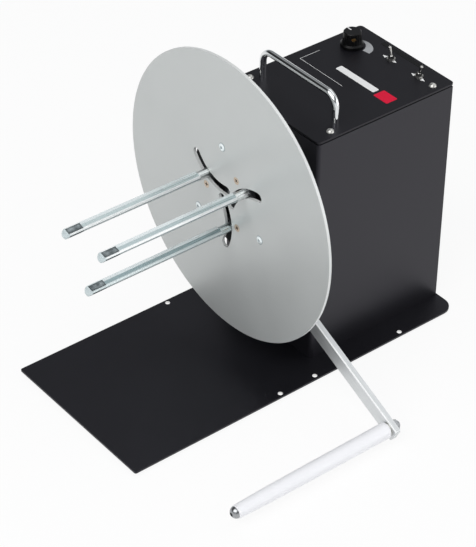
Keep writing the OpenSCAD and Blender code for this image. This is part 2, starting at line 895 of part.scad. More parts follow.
// Power inlet in the rear panel: a round flanged socket with a centre pin
module power_inlet() {
    color(rubber)
        difference() {
            union() {
                rod_y([inlet_x, inlet_z], inlet_flange_r, back_y, back_y + inlet_flange_t);
                rod_y([inlet_x, inlet_z], inlet_r, back_y - inlet_l, back_y + inlet_flange_t);
            }
            difference() {
                rod_y([inlet_x, inlet_z], inlet_bore_r, back_y - inlet_l + 4, back_y + inlet_flange_t + cut);
                rod_y([inlet_x, inlet_z], 1, back_y - inlet_l, back_y + 1);
            }
        }
}

// Flanged bronze bush that carries the dancer arm's shaft in the front wall
module dancer_bush() {
    color(brass)
        difference() {
            union() {
                rod_y([0, dancer_z], bush_flange_r, dancer_back_y + slide_gap, front_y);
                rod_y([0, dancer_z], bush_r, front_y - cut, wall_y + bush_in);
            }
            rod_y([0, dancer_z], dancer_shaft_d / 2 + run_fit, dancer_back_y, wall_y + bush_in + cut);
        }
}

// Position sensor: a cup on the front wall, closed over the collar and the dancer shaft's inner end
module dancer_sensor() {
    sensor_y = wall_y + bush_in + collar_w + 2 * slide_gap;
    color("#2d3d52")
        difference() {
            rod_y([0, dancer_z], bush_r + 6, wall_y, sensor_y + 12);
            rod_y([0, dancer_z], bush_r + 3, wall_y - cut, sensor_y);
            rod_y([0, dancer_z], dancer_shaft_d / 2 + run_fit, sensor_y - cut, sensor_y + 9.5);
        }
}

// Stop pins on the front wall, just under the arm at rest and just over it at the top of its swing
stop_side = dancer_w / 2 + stop_d / 2 + stop_room;
stop_at = [
    [0, dancer_z] + polar(stop_reach, -dancer_fall) + polar(stop_side, -dancer_fall - 90),
    [0, dancer_z] + polar(stop_reach, dancer_rise) + polar(stop_side, dancer_rise + 90)
];

module dancer_stops() {
    color(zinc)
        for (p = stop_at) {
            rod_y(p, stop_d / 2, dancer_front_y, front_y);
            rod_y(p, m5_r, front_y - cut, wall_y + 5);
        }
}

// Spindle shaft, from the sun gear back to the coupling
module drive_shaft() {
    color(steel)
        rod_y([0, axis_z], shaft_d / 2, gear_front_y, shaft_back_y);
}

// Clamp coupling between the spindle shaft and the motor's output shaft
module shaft_coupling() {
    color(matt_aluminium)
        difference() {
            rod_y([0, axis_z], coupling_r, coupling_front_y, coupling_front_y + coupling_l);
            rod_y([0, axis_z], shaft_d / 2 + pin_fit, coupling_front_y - cut, shaft_back_y + 0.5);
            rod_y([0, axis_z], motor_shaft_r + pin_fit, shaft_back_y, coupling_front_y + coupling_l + cut);
            translate([-0.75, coupling_front_y - cut, axis_z])
                cube([1.5, coupling_l + 2 * cut, coupling_r + cut]);
        }
}

// The gear motor's output shaft, which turns with the spindle
module motor_output_shaft() {
    color(steel)
        rod_y([0, axis_z], motor_shaft_r, shaft_back_y + 1, bracket_y + bracket_t + gearbox_l / 2 - 1);
}

// Hub plate with its boss: it carries the pivots, and the disc on its spacers
module hub_plate() {
    color("#17171a")
        difference() {
            union() {
                rod_y([0, axis_z], hub_r, hub_front_y, hub_back_y);
                rod_y([0, axis_z], boss_r, hub_back_y - cut, hub_back_y + boss_l);
            }
            rod_y([0, axis_z], shaft_d / 2 + pin_fit, hub_front_y - cut, hub_back_y + boss_l + cut);
            three_times()
                rod_y(polar(spacer_r, spacer_a), m4_r + pin_fit, hub_front_y - cut, hub_back_y + cut);
            three_times()
                rod_y(pivot_at, pivot_pin_d / 2 + pin_fit, hub_front_y - cut, hub_back_y + cut);
        }
}

// Repeats what is drawn about the spindle three times round it
module three_times() {
    for (i = [0:2])
        about_spindle(i)
            children();
}

// Turns what is drawn for the first arm to arm i
module about_spindle(i) {
    translate([0, 0, axis_z])
        rotate([0, 120 * i, 0])
            children();
}

// A ring sector about the origin, from angle a0 to a1, of width w round radius r, with round ends,
// which are a hair narrower than the sector so that their walls cross it cleanly
module arc_slot(r, w, a0, a1) {
    reach = r + w;
    steps = 6;
    hair = 0.04;
    intersection() {
        difference() {
            circle(r = r + w / 2);
            circle(r = r - w / 2);
        }
        polygon(concat([[0, 0]], [for (i = [0:steps]) polar(2 * reach, a0 + (a1 - a0) * i / steps)]));
    }
    for (a = [a0, a1])
        translate(polar(r, a))
            circle(r = w / 2 - hair);
}

// Flange disc with its three curved slots, each an arc about the pivot of its arm
module flange_disc() {
    color(matt_aluminium)
        difference() {
            rod_y([0, axis_z], disc_d / 2, disc_front_y, disc_back_y);
            three_times()
                along_y(disc_front_y - cut, disc_back_y + cut)
                    translate(pivot_at)
                        rotate(pivot_a + 180)
                            arc_slot(arm_l, slot_w, -arm_max - slot_end_a, slot_end_a);
            three_times() {
                countersunk_y(polar(spacer_r, spacer_a), m4_r + pin_fit, m4_head_r + pin_fit,
                              disc_front_y, disc_back_y + cut);
                rod_y(polar(spacer_r, spacer_a), m4_head_r + pin_fit,
                      disc_front_y - cut, disc_front_y + pin_fit);
            }
            three_times()
                rod_y(pivot_at, pivot_pin_d / 2 + pin_fit, disc_front_y - cut, disc_back_y + cut);
        }
}

// Tubes that hold the disc off the hub plate, clear of the arms
module flange_spacers() {
    color(zinc)
        three_times()
            difference() {
                rod_y(polar(spacer_r, spacer_a), spacer_d / 2, disc_back_y, hub_front_y);
                rod_y(polar(spacer_r, spacer_a), m4_r + pin_fit, disc_back_y - cut, hub_front_y + cut);
            }
}

// Countersunk brass screws through the disc and the spacers into the hub plate
module flange_screws() {
    color(brass)
        three_times()
            difference() {
                countersunk_y(polar(spacer_r, spacer_a), m4_r, m4_head_r, disc_front_y, hub_back_y);
                along_y(disc_front_y - cut, disc_front_y + 1.2)
                    translate(polar(spacer_r, spacer_a))
                        rotate(spacer_a)
                            for (turn = [0, 90])
                                rotate(turn)
                                    square([4, 0.9], center = true);
            }
}

// Pivot pins of the swing arms: low domed heads on the disc, shanks into the hub plate
module pivot_pins() {
    color(zinc)
        three_times() {
            rod_y(pivot_at, pivot_pin_d / 2, disc_front_y, hub_back_y);
            translate([pivot_at[0], disc_front_y, pivot_at[1]])
                rotate([90, 0, 0])
                    difference() {
                        dome(pin_head_r, pin_head_h);
                        translate([0, 0, 0.6])
                            cylinder(h = pin_head_h, r = 1.6, $fn = 6);
                    }
        }
}

// Outline of one straight-sided tooth at angle a on a gear of pitch radius r
function tooth(r, a) =
    let (
        root_half = tooth_half + tooth_ded * tan(tooth_flank),
        tip_half = tooth_half - tooth_add * tan(tooth_flank),
        root = r - tooth_ded,
        tip = r + tooth_add
    ) [
        polar(root, a - root_half / root * 180 / PI),
        polar(tip, a - tip_half / tip * 180 / PI),
        polar(tip, a + tip_half / tip * 180 / PI),
        polar(root, a + root_half / root * 180 / PI)
    ];

// A link with round ends of radius r0 at the origin and r1 at distance l along X, and straight sides
module link(l, r0, r1) {
    lean = asin((r0 - r1) / l);
    circle(r = r0);
    translate([l, 0])
        circle(r = r1);
    polygon([polar(r0, 90 - lean), polar(r0, -90 + lean),
             [l, 0] + polar(r1, -90 + lean), [l, 0] + polar(r1, 90 - lean)]);
}

// Swing arm: a plate from the pivot to the post, with a toothed sector behind it that meshes with the sun gear
module swing_arm(i) {
    step = 360 / sector_teeth;
    first = ceil((-sector_margin - arm_rest) / step);
    last = floor((arm_max + sector_margin - arm_rest) / step);
    sides = [for (k = [first:last]) tooth(sector_r, arm_rest + k * step)];
    color(zinc)
        about_spindle(i)
            difference() {
                union() {
                    along_y(arm_front_y, arm_back_y)
                        translate(pivot_at)
                            rotate(arm_dir)
                                link(arm_l, arm_pivot_r, arm_end_r);
                    along_y(arm_back_y - cut, gear_back_y)
                        translate(pivot_at)
                            rotate(arm_dir) {
                                polygon(concat([[0, 0]], [for (side = sides, p = side) p]));
                                circle(r = arm_pivot_r);
                            }
                }
                rod_y(pivot_at, pivot_pin_d / 2 + run_fit, arm_front_y - cut, gear_back_y + cut);
                rod_y(post_at, spigot_r + pin_fit, arm_front_y - cut, arm_back_y + cut);
            }
}

module swing_arm_1() {
    swing_arm(0);
}

module swing_arm_2() {
    swing_arm(1);
}

module swing_arm_3() {
    swing_arm(2);
}

// Section of a post: a round bar with three flats
module post_section() {
    intersection() {
        circle(r = post_r);
        rotate(flat_a + 180)
            circle(r = 2 * post_flat, $fn = 3);
    }
}

// Core post: a zinc-plated bar with a domed tip, a turned neck in the disc's slot and a spigot in the arm
module core_post(i) {
    bar_y = disc_front_y - neck_l;
    color(zinc)
        about_spindle(i)
            difference() {
                union() {
                    intersection() {
                        along_y(tip_y, bar_y)
                            translate(post_at)
                                post_section();
                        union() {
                            translate([post_at[0], tip_y + dome_r, post_at[1]])
                                sphere(r = dome_r);
                            rod_y(post_at, dome_r, tip_y + dome_r, bar_y);
                        }
                    }
                    rod_y(post_at, neck_d / 2, bar_y - cut, arm_front_y);
                    rod_y(post_at, spigot_r, arm_front_y - cut, arm_back_y);
                }
                three_flats()
                    translate([-post_r, tip_y + pad_from_tip - pocket_room, post_flat - pocket_depth])
                        cube([2 * post_r, pad_l + 2 * pocket_room, 2 * post_r]);
            }
}

// Places what is drawn on top of a post at the origin onto each of the post's three flats
module three_flats() {
    for (k = [0:2])
        translate([post_at[0], 0, post_at[1]])
            rotate([0, 90 - flat_a + 120 * k, 0])
                children();
}

module core_post_1() {
    core_post(0);
}

module core_post_2() {
    core_post(1);
}

module core_post_3() {
    core_post(2);
}

// Rubber grip pads in the pockets of one post's flats, with bevelled long edges
module grip_pads(i) {
    bevel = pad_t / 2;
    color(rubber)
        about_spindle(i)
            three_flats()
                translate([0, tip_y + pad_from_tip + pad_l, post_flat - pocket_depth])
                    rotate([90, 0, 0])
                        linear_extrude(pad_l)
                            polygon([[-pad_w / 2, 0], [pad_w / 2, 0], [pad_w / 2, pad_t - bevel],
                                     [pad_w / 2 - bevel, pad_t], [-pad_w / 2 + bevel, pad_t],
                                     [-pad_w / 2, pad_t - bevel]]);
}

module grip_pads_1() {
    grip_pads(0);
}

module grip_pads_2() {
    grip_pads(1);
}

module grip_pads_3() {
    grip_pads(2);
}

// Sun gear on the shaft's front end: it keeps the three arms in step
module sun_gear() {
    step = 360 / sun_teeth;
    sides = [for (k = [0:sun_teeth - 1]) tooth(sun_r, pivot_a + (k + 0.5) * step)];
    window_r = (sun_r - shaft_d / 2) / 4;
    color(steel)
        translate([0, 0, axis_z])
            along_y(gear_front_y, gear_back_y)
                difference() {
                    polygon([for (side = sides, p = side) p]);
                    circle(r = shaft_d / 2 + run_fit);
                    for (a = [0:60:300])
                        translate(polar((sun_r + shaft_d / 2) / 2, a))
                            circle(r = window_r);
                }
}

// Turns what is drawn along +X from the dancer's pivot to the arm's rest position
module along_dancer() {
    translate([0, 0, dancer_z])
        rotate([0, dancer_fall, 0])
            children();
}

// Dancer arm: a flat aluminium bar with round ends, drilled for its shaft and the roller's axle
module dancer_arm() {
    color(matt_aluminium)
        along_dancer()
            difference() {
                along_y(dancer_front_y, dancer_back_y) {
                    rotate(-90)
                        rounded_plan(dancer_w, dancer_l + dancer_tail, dancer_end_r, dancer_end_r);
                    circle(r = dancer_pivot_r);
                }
                rod_y([0, 0], dancer_shaft_d / 2 + pin_fit, dancer_front_y - cut, dancer_back_y + cut);
                rod_y([dancer_l, 0], m5_r + pin_fit, dancer_front_y - cut, dancer_back_y + cut);
            }
}

// Pivot shaft of the dancer arm, with a domed head in front of the arm
module dancer_shaft() {
    color(steel) {
        rod_y([0, dancer_z], dancer_shaft_d / 2, dancer_front_y,
              wall_y + bush_in + collar_w + 2 * slide_gap + 9);
        translate([0, dancer_front_y, dancer_z])
            rotate([90, 0, 0])
                dome(dancer_shaft_d / 2 + 2.5, 3);
    }
}

// Collar that keeps the dancer shaft in its bush
module dancer_collar() {
    collar_y = wall_y + bush_in + slide_gap;
    color(steel)
        difference() {
            rod_y([0, dancer_z], dancer_shaft_d / 2 + 3.5, collar_y, collar_y + collar_w);
            rod_y([0, dancer_z], dancer_shaft_d / 2 + pin_fit, collar_y - cut, collar_y + collar_w + cut);
        }
}

// Roller axle: a rod with a screw end through the arm and a shouldered cap at its free end
module roller_axle() {
    cap_y = roller_front_y - slide_gap;
    cap_l = 5;
    cap_r = roller_tip_d / 2 - 0.6;
    color(steel)
        along_dancer() {
            rod_y([dancer_l, 0], axle_d / 2, cap_y - 1, dancer_front_y);
            rod_y([dancer_l, 0], m5_r, dancer_front_y - cut, dancer_back_y + axle_tail);
            translate([dancer_l, cap_y, 0])
                rotate([90, 0, 0])
                    difference() {
                        dome(cap_r, cap_l);
                        translate([0, 0, cap_l - 2.6])
                            cylinder(h = cap_l, r = 2.2, $fn = 6);
                    }
        }
}

// Washers on the roller's axle, in front of the arm and behind it
module roller_washers() {
    color(zinc)
        along_dancer() {
            difference() {
                rod_y([dancer_l, 0], roller_d / 2 - 1.5, dancer_front_y - washer_t, dancer_front_y);
                rod_y([dancer_l, 0], axle_d / 2 + pin_fit, dancer_front_y - washer_t - cut, dancer_front_y + cut);
            }
            difference() {
                rod_y([dancer_l, 0], axle_nut_r, dancer_back_y, dancer_back_y + 1);
                rod_y([dancer_l, 0], m5_r + pin_fit, dancer_back_y - cut, dancer_back_y + 1 + cut);
            }
        }
}

// Cap nut on the axle's screw end, behind the arm
module axle_nut() {
    nut_y = dancer_back_y + 1;
    hex_h = 3.5;
    color(steel)
        along_dancer()
            difference() {
                union() {
                    translate([dancer_l, nut_y + hex_h, 0])
                        rotate([90, 0, 0])
                            cylinder(h = hex_h, r = axle_nut_r, $fn = 6);
                    translate([dancer_l, nut_y + hex_h - 0.2, 0])
                        rotate([-90, 0, 0])
                            dome(axle_nut_r - 1.4, 4);
                }
                rod_y([dancer_l, 0], m5_r + pin_fit, dancer_back_y, dancer_back_y + axle_tail + 0.5);
            }
}

// Dancer roller: a white plastic tube, nearly straight at the arm and drawn in towards its free end
module dancer_roller() {
    edge = 1;
    back_l = 0.5 * roller_l;
    mid_l = 0.3 * roller_l;
    front_l = roller_l - back_l - mid_l - 2 * edge;
    drop = roller_d - roller_tip_d;
    mid_d = roller_d - 0.2 * drop;
    front_d = roller_d - 0.45 * drop;
    color(white_plastic)
        along_dancer()
            translate([dancer_l, roller_back_y, 0])
                rotate([90, 0, 0])
                    difference() {
                        union() {
                            cylinder(h = edge, d1 = roller_d - 2 * edge, d2 = roller_d);
                            translate([0, 0, edge])
                                cylinder(h = back_l, d1 = roller_d, d2 = mid_d);
                            translate([0, 0, edge + back_l])
                                cylinder(h = mid_l, d1 = mid_d, d2 = front_d);
                            translate([0, 0, edge + back_l + mid_l])
                                cylinder(h = front_l, d1 = front_d, d2 = roller_tip_d);
                            translate([0, 0, roller_l - edge])
                                cylinder(h = edge, d1 = roller_tip_d, d2 = roller_tip_d - 1.2 * edge);
                        }
                        translate([0, 0, -cut])
                            cylinder(h = roller_l + 2 * cut, r = axle_d / 2 + run_fit);
                    }
}

// Torque knob: a fluted body on a skirt, hollow below for the nut, with a pointer line across its top
module torque_knob() {
    base_z = top_z + knob_lift;
    flute_r = PI * knob_body_d / knob_flutes / 3;
    hollow_r = pot_nut_r + 1;
    hollow_h = pot_bush_h - knob_lift + 1;
    chamfer = 0.8;
    flute_lean = atan((knob_body_d - knob_top_d) / 2 / knob_h);
    color("#0f0f11")
        translate([knob_x, knob_y, base_z])
            difference() {
                union() {
                    cylinder(h = knob_skirt_h - 1.5, d = knob_d);
                    translate([0, 0, knob_skirt_h - 1.5])
                        cylinder(h = 1.5, d1 = knob_d, d2 = knob_body_d);
                    cylinder(h = knob_h - chamfer, d1 = knob_body_d, d2 = knob_top_d);
                    translate([0, 0, knob_h - chamfer])
                        cylinder(h = chamfer, d1 = knob_top_d, d2 = knob_top_d - 2 * chamfer);
                }
                for (k = [0:knob_flutes - 1])
                    rotate(k * 360 / knob_flutes + pointer_a)
                        translate([knob_body_d / 2 + flute_r / 2, 0, knob_skirt_h])
                            rotate([0, -flute_lean, 0])
                                cylinder(h = knob_h, r = flute_r);
                translate([0, 0, -cut])
                    cylinder(h = hollow_h + cut, r = hollow_r);
                cylinder(h = knob_h - 3, r = pot_shaft_r + pin_fit);
                rotate(pointer_a)
                    translate([2, -0.7, knob_h - 0.6])
                        cube([knob_body_d, 1.4, 1]);
                rotate(set_screw_a)
                    translate([0, 0, set_screw_z])
                        rotate([0, 90, 0])
                            cylinder(h = knob_d, r = set_screw_r + pin_fit);
            }
}

// Brass set screw that holds the knob on its shaft
module knob_set_screw() {
    color(brass)
        translate([knob_x, knob_y, top_z + knob_lift + set_screw_z])
            rotate(set_screw_a)
                rotate([0, 90, 0])
                    difference() {
                        translate([0, 0, pot_shaft_r])
                            cylinder(h = knob_top_d / 2 - pot_shaft_r, r = set_screw_r);
                        translate([0, 0, knob_top_d / 2 - 0.8])
                            translate([-0.3, -2, 0])
                                cube([0.6, 4, 2]);
                    }
}

// The potentiometer's own shaft, which turns with the knob
module potentiometer_shaft() {
    color(steel)
        rod_z([knob_x, knob_y], pot_shaft_r, lid_z - pot_h + 2.5, top_z + knob_lift + knob_h - 3.5);
}

// A toggle lever: a ball in the bushing and a bat that thickens towards its round tip
module toggle_lever(x, tilt) {
    bat_r0 = 1.1;
    bat_r1 = 1.6;
    color(chrome)
        translate([x, switch_y, lever_z])
            rotate([0, tilt, 0]) {
                sphere(r = toggle_ball_r);
                cylinder(h = lever_l - bat_r1, r1 = bat_r0, r2 = bat_r1);
                translate([0, 0, lever_l - bat_r1])
                    sphere(r = bat_r1);
            }
}

module direction_lever() {
    toggle_lever(direction_x, -lever_tilt);
}

module torque_lever() {
    toggle_lever(torque_x, lever_tilt);
}

base_plate();
rubber_feet();
housing();
housing_screws();
rear_panel();
rear_panel_screws();
top_panel();
top_panel_screws();
carry_handle();
handle_screws();
potentiometer();
direction_switch();
torque_switch();
control_nuts();
spindle_housing();
spindle_housing_screws();
front_bearing();
rear_bearing();
gear_motor();
motor_bracket();
motor_screws();
bracket_screws();
control_board();
board_standoffs();
board_parts();
power_inlet();
dancer_bush();
dancer_sensor();
dancer_stops();
drive_shaft();
shaft_coupling();
motor_output_shaft();
hub_plate();
flange_disc();
flange_spacers();
flange_screws();
pivot_pins();
swing_arm_1();
swing_arm_2();
swing_arm_3();
core_post_1();
core_post_2();
core_post_3();
grip_pads_1();
grip_pads_2();
grip_pads_3();
sun_gear();
dancer_arm();
dancer_shaft();
dancer_collar();
roller_axle();
roller_washers();
axle_nut();
dancer_roller();
torque_knob();
knob_set_screw();
potentiometer_shaft();
direction_lever();
torque_lever();
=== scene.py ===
import json
import math

import bmesh
import bpy
from mathutils import Matrix, Vector

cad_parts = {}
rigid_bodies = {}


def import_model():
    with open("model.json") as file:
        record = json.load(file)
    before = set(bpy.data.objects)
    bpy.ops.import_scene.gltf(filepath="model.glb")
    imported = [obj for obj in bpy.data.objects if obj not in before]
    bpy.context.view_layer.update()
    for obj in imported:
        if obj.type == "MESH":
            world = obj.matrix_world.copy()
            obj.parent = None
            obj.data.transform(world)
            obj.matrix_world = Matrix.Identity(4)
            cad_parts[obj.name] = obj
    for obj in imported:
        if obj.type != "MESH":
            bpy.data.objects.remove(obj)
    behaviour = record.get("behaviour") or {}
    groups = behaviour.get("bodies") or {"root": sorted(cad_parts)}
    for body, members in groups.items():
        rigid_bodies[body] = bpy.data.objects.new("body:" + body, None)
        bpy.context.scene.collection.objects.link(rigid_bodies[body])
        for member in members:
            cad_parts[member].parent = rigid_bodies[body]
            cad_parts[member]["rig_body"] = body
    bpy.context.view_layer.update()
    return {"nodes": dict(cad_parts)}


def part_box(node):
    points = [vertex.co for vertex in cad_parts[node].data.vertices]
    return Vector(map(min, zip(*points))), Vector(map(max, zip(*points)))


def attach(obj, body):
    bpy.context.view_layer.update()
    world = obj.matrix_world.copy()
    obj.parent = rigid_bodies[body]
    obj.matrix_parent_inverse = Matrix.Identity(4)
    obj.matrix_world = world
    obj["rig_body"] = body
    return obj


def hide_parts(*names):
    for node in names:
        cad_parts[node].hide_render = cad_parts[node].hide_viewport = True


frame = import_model()
parts = frame["nodes"]
bpy.ops.object.select_all(action="DESELECT")


# Camera
# A long lens on a stand at the right front of the bench, about two metres off and looking down on the
# machine. Its head isn't quite level, so the picture is turned a little.
view_azimuth = math.radians(50.93)
view_elevation = math.radians(37.275)
view_distance = 2.1375
view_target = Vector((-0.01109, -0.05018, 0.07471))
view_roll = math.radians(0.715)
away = Vector((
    math.sin(view_azimuth) * math.cos(view_elevation),
    -math.cos(view_azimuth) * math.cos(view_elevation),
    math.sin(view_elevation),
))
level_right = (-away).cross(Vector((0, 0, 1))).normalized()
level_up = level_right.cross(-away)
camera_right = level_right * math.cos(view_roll) + level_up * math.sin(view_roll)
camera_up = level_up * math.cos(view_roll) - level_right * math.sin(view_roll)
camera_data = bpy.data.cameras.new("bench_camera")
camera_data.lens = 142.0
camera_data.sensor_width = 36.0
camera_data.clip_end = 50.0
bench_camera = bpy.data.objects.new("bench_camera", camera_data)
bench_camera.matrix_world = (
    Matrix.Translation(view_target + away * view_distance)
    @ Matrix((camera_right, camera_up, away)).transposed().to_4x4()
)
bpy.context.scene.collection.objects.link(bench_camera)
bpy.context.scene.camera = bench_camera
bpy.context.scene.view_settings.view_transform = "Standard"


# Bench top and studio light
# A white laminate sweep in a grey room, pale above and low down and dark in the corner at the front left,
# with three soft boxes. The sweep glows for the camera and keeps the machine's shadow.
def linear(hex_colour):
    """sRGB hex to the linear colour that a shader socket takes."""
    channels = [int(hex_colour[i:i + 2], 16) / 255 for i in (1, 3, 5)]
    return tuple(
        c / 12.92 if c <= 0.04045 else ((c + 0.055) / 1.055) ** 2.4 for c in channels
    ) + (1.0,)


def add_node(tree, kind, inputs=None, **settings):
    """One node with its settings; an input takes a plain value or the socket that feeds it."""
    made = tree.nodes.new(kind)
    for name, value in settings.items():
        setattr(made, name, value)
    for name, value in (inputs or {}).items():
        if isinstance(value, bpy.types.NodeSocket):
            tree.links.new(value, made.inputs[name])
        else:
            made.inputs[name].default_value = value
    return made


def new_material(name):
    """An empty material with its output node, ready for add_node."""
    material = bpy.data.materials.new(name)
    material.use_nodes = True
    material.node_tree.nodes.clear()
    return material, material.node_tree, material.node_tree.nodes.new("ShaderNodeOutputMaterial")


bench_size, glow_share = 40.0, 0.9
bench_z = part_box("rubber_feet")[0].z
bpy.ops.mesh.primitive_plane_add(size=bench_size, location=(0, 0, bench_z))
bench_top = bpy.context.object
bench_top.name = "bench_top"
bpy.ops.object.transform_apply(location=True)
laminate, tree, out = new_material("white_laminate")
rays = add_node(tree, "ShaderNodeLightPath")
seen = add_node(tree, "ShaderNodeMath", {
    0: rays.outputs["Is Camera Ray"], 1: rays.outputs["Is Glossy Ray"]}, operation="MAXIMUM")
seen = add_node(tree, "ShaderNodeMath", {0: seen.outputs[0], 1: rays.outputs["Is Transmission Ray"]},
                operation="MAXIMUM")
share = add_node(tree, "ShaderNodeMath", {0: seen.outputs[0], 1: glow_share}, operation="MULTIPLY")
lit = add_node(tree, "ShaderNodeBsdfDiffuse", {"Color": linear("#f4f4f4")})
glow = add_node(tree, "ShaderNodeEmission", {"Color": (1, 1, 1, 1), "Strength": 1.0})
both = add_node(tree, "ShaderNodeMixShader", {0: share.outputs[0], 1: lit.outputs[0], 2: glow.outputs[0]})
tree.links.new(both.outputs[0], out.inputs["Surface"])
bench_top.data.materials.append(laminate)

dark_corner = (-0.62, -0.45, 0.64)
room = bpy.data.worlds.new("pale_room")
room.use_nodes = True
room.node_tree.nodes.clear()
tree = room.node_tree
heading = add_node(tree, "ShaderNodeTexCoord").outputs["Generated"]
direction = add_node(tree, "ShaderNodeSeparateXYZ", {"Vector": heading})
ceiling = add_node(tree, "ShaderNodeMapRange", {
    "Value": direction.outputs["Z"], "From Min": 0.5, "From Max": 0.9, "To Min": 0.22, "To Max": 0.5},
    interpolation_type="SMOOTHSTEP")
corner = add_node(tree, "ShaderNodeVectorMath", {0: heading, 1: dark_corner}, operation="DOT_PRODUCT")
dark = add_node(tree, "ShaderNodeMapRange", {
    "Value": corner.outputs["Value"], "From Min": 0.8, "From Max": 0.95, "To Min": 1.0, "To Max": 0.12},
    interpolation_type="SMOOTHSTEP")
low_down = add_node(tree, "ShaderNodeMapRange", {
    "Value": direction.outputs["Z"], "From Min": 0.08, "From Max": 0.32, "To Min": 0.68, "To Max": 0.0},
    interpolation_type="SMOOTHSTEP")
level = add_node(tree, "ShaderNodeMath", {
    0: ceiling.outputs[0], 1: dark.outputs[0], 2: low_down.outputs[0]}, operation="MULTIPLY_ADD")
sky = add_node(tree, "ShaderNodeBackground", {"Color": linear("#f3f6f9"), "Strength": level.outputs[0]})
tree.links.new(sky.outputs[0], add_node(tree, "ShaderNodeOutputWorld").inputs["Surface"])
bpy.context.scene.world = room

for lamp_name, place, aim, width, height, power in (
    ("soft_box_back", (0.1, 1.06, 1.8), (0, -0.1, 0.15), 1.8, 1.8, 7.8),
    ("soft_box_right", (1.5, 1.2, 0.65), (0, -0.1, 0.12), 2.2, 1.2, 12.0),
    ("soft_box_front", (0.5, -1.6, 2.0), (0, -0.05, 0.2), 2.6, 2.0, 43.5),
):
    lamp_data = bpy.data.lights.new(lamp_name, "AREA")
    lamp_data.shape = "RECTANGLE"
    lamp_data.size, lamp_data.size_y = width, height
    lamp_data.energy = power
    lamp = bpy.data.objects.new(lamp_name, lamp_data)
    lamp.location = place
    lamp.rotation_euler = (Vector(aim) - Vector(place)).to_track_quat("-Z", "Y").to_euler()
    bpy.context.scene.collection.objects.link(lamp)


# Rubber feet
# Four discs of black rubber, moulded and stuck under the base plate. They are dull, with a grain of about
# 1 mm, and dust lies on them in patches.
rubber, tree, out = new_material("moulded_black_rubber")
place = add_node(tree, "ShaderNodeTexCoord").outputs["Object"]
# the scale of a noise is 1000 over the size of its grains in millimetres
grain = add_node(tree, "ShaderNodeTexNoise", {"Vector": place, "Scale": 1000 / 1.1, "Detail": 3.0})
dust = add_node(tree, "ShaderNodeTexNoise", {"Vector": place, "Scale": 1000 / 17, "Detail": 4.0})
# sockets of a colour mix: the share, the colours that it goes between, and the result
mix_by, mix_from, mix_to, mixed = 0, 6, 7, 2
tone = add_node(tree, "ShaderNodeMix", {
    mix_by: dust.outputs["Fac"], mix_from: linear("#191919"), mix_to: linear("#2a2a2a")},
    data_type="RGBA")
bump = add_node(tree, "ShaderNodeBump", {
    "Height": grain.outputs["Fac"], "Strength": 0.25, "Distance": 0.0004})
shade = add_node(tree, "ShaderNodeBsdfPrincipled", {
    "Base Color": tone.outputs[mixed], "Roughness": 0.82, "IOR": 1.52, "Normal": bump.outputs[0]})
tree.links.new(shade.outputs[0], out.inputs["Surface"])


def finish_nodes(material, *names):
    """Gives CAD nodes their one material."""
    for name in names:
        parts[name].data.materials.clear()
        parts[name].data.materials.append(material)


finish_nodes(rubber, "rubber_feet")


# Base plate and box
# Sheet steel, laser cut and folded, then sprayed with blue-black polyester powder and baked: satin, with an
# orange peel of 0.8 mm. The walls of the bolt holes are painted bright bare steel: a painted highlight for
# the light seen through the holes.
hole_side, hole_rows, hole_wall = 0.091, (-0.078, -0.034, 0.078), 0.00252
powder_coat, tree, out = new_material("black_powder_coat")
place = add_node(tree, "ShaderNodeTexCoord").outputs["Object"]
peel = add_node(tree, "ShaderNodeTexNoise", {"Vector": place, "Scale": 1000 / 0.8, "Detail": 2.0})
film = add_node(tree, "ShaderNodeTexNoise", {
    "Vector": place, "Scale": 1000 / 90, "Detail": 3.0, "Roughness": 0.6})
tone = add_node(tree, "ShaderNodeMix", {
    mix_by: film.outputs["Fac"], mix_from: linear("#0f0f12"), mix_to: linear("#151519")},
    data_type="RGBA")
gloss = add_node(tree, "ShaderNodeMapRange", {
    "Value": film.outputs["Fac"], "To Min": 0.36, "To Max": 0.44})
bump = add_node(tree, "ShaderNodeBump", {
    "Height": peel.outputs["Fac"], "Strength": 0.12, "Distance": 0.0003})
spot = add_node(tree, "ShaderNodeSeparateXYZ", {"Vector": place})
either_side = add_node(tree, "ShaderNodeMath", {0: spot.outputs["X"]}, operation="ABSOLUTE")
plan = add_node(tree, "ShaderNodeCombineXYZ", {"X": either_side.outputs[0], "Y": spot.outputs["Y"]})
nearest = 1.0
for hole_y in hole_rows:
    reach = add_node(tree, "ShaderNodeVectorMath", {
        0: plan.outputs[0], 1: (hole_side, hole_y, 0)}, operation="DISTANCE")
    nearest = add_node(tree, "ShaderNodeMath", {
        0: reach.outputs["Value"], 1: nearest}, operation="MINIMUM").outputs[0]
# painted highlight: the walls of the bolt holes are painted bright, for the light seen through them
hole_wall_highlight = add_node(tree, "ShaderNodeMath", {0: nearest, 1: hole_wall}, operation="LESS_THAN")
tone = add_node(tree, "ShaderNodeMix", {
    mix_by: hole_wall_highlight.outputs[0], mix_from: tone.outputs[mixed], mix_to: linear("#e2e2e0")}, data_type="RGBA")
shade = add_node(tree, "ShaderNodeBsdfPrincipled", {
    "Base Color": tone.outputs[mixed], "Metallic": hole_wall_highlight.outputs[0], "Roughness": gloss.outputs[0],
    "IOR": 1.5, "Specular IOR Level": 0.42, "Specular Tint": linear("#f2efff"),
    "Normal": bump.outputs[0]})
tree.links.new(shade.outputs[0], out.inputs["Surface"])
finish_nodes(powder_coat, "base_plate", "housing", "rear_panel")


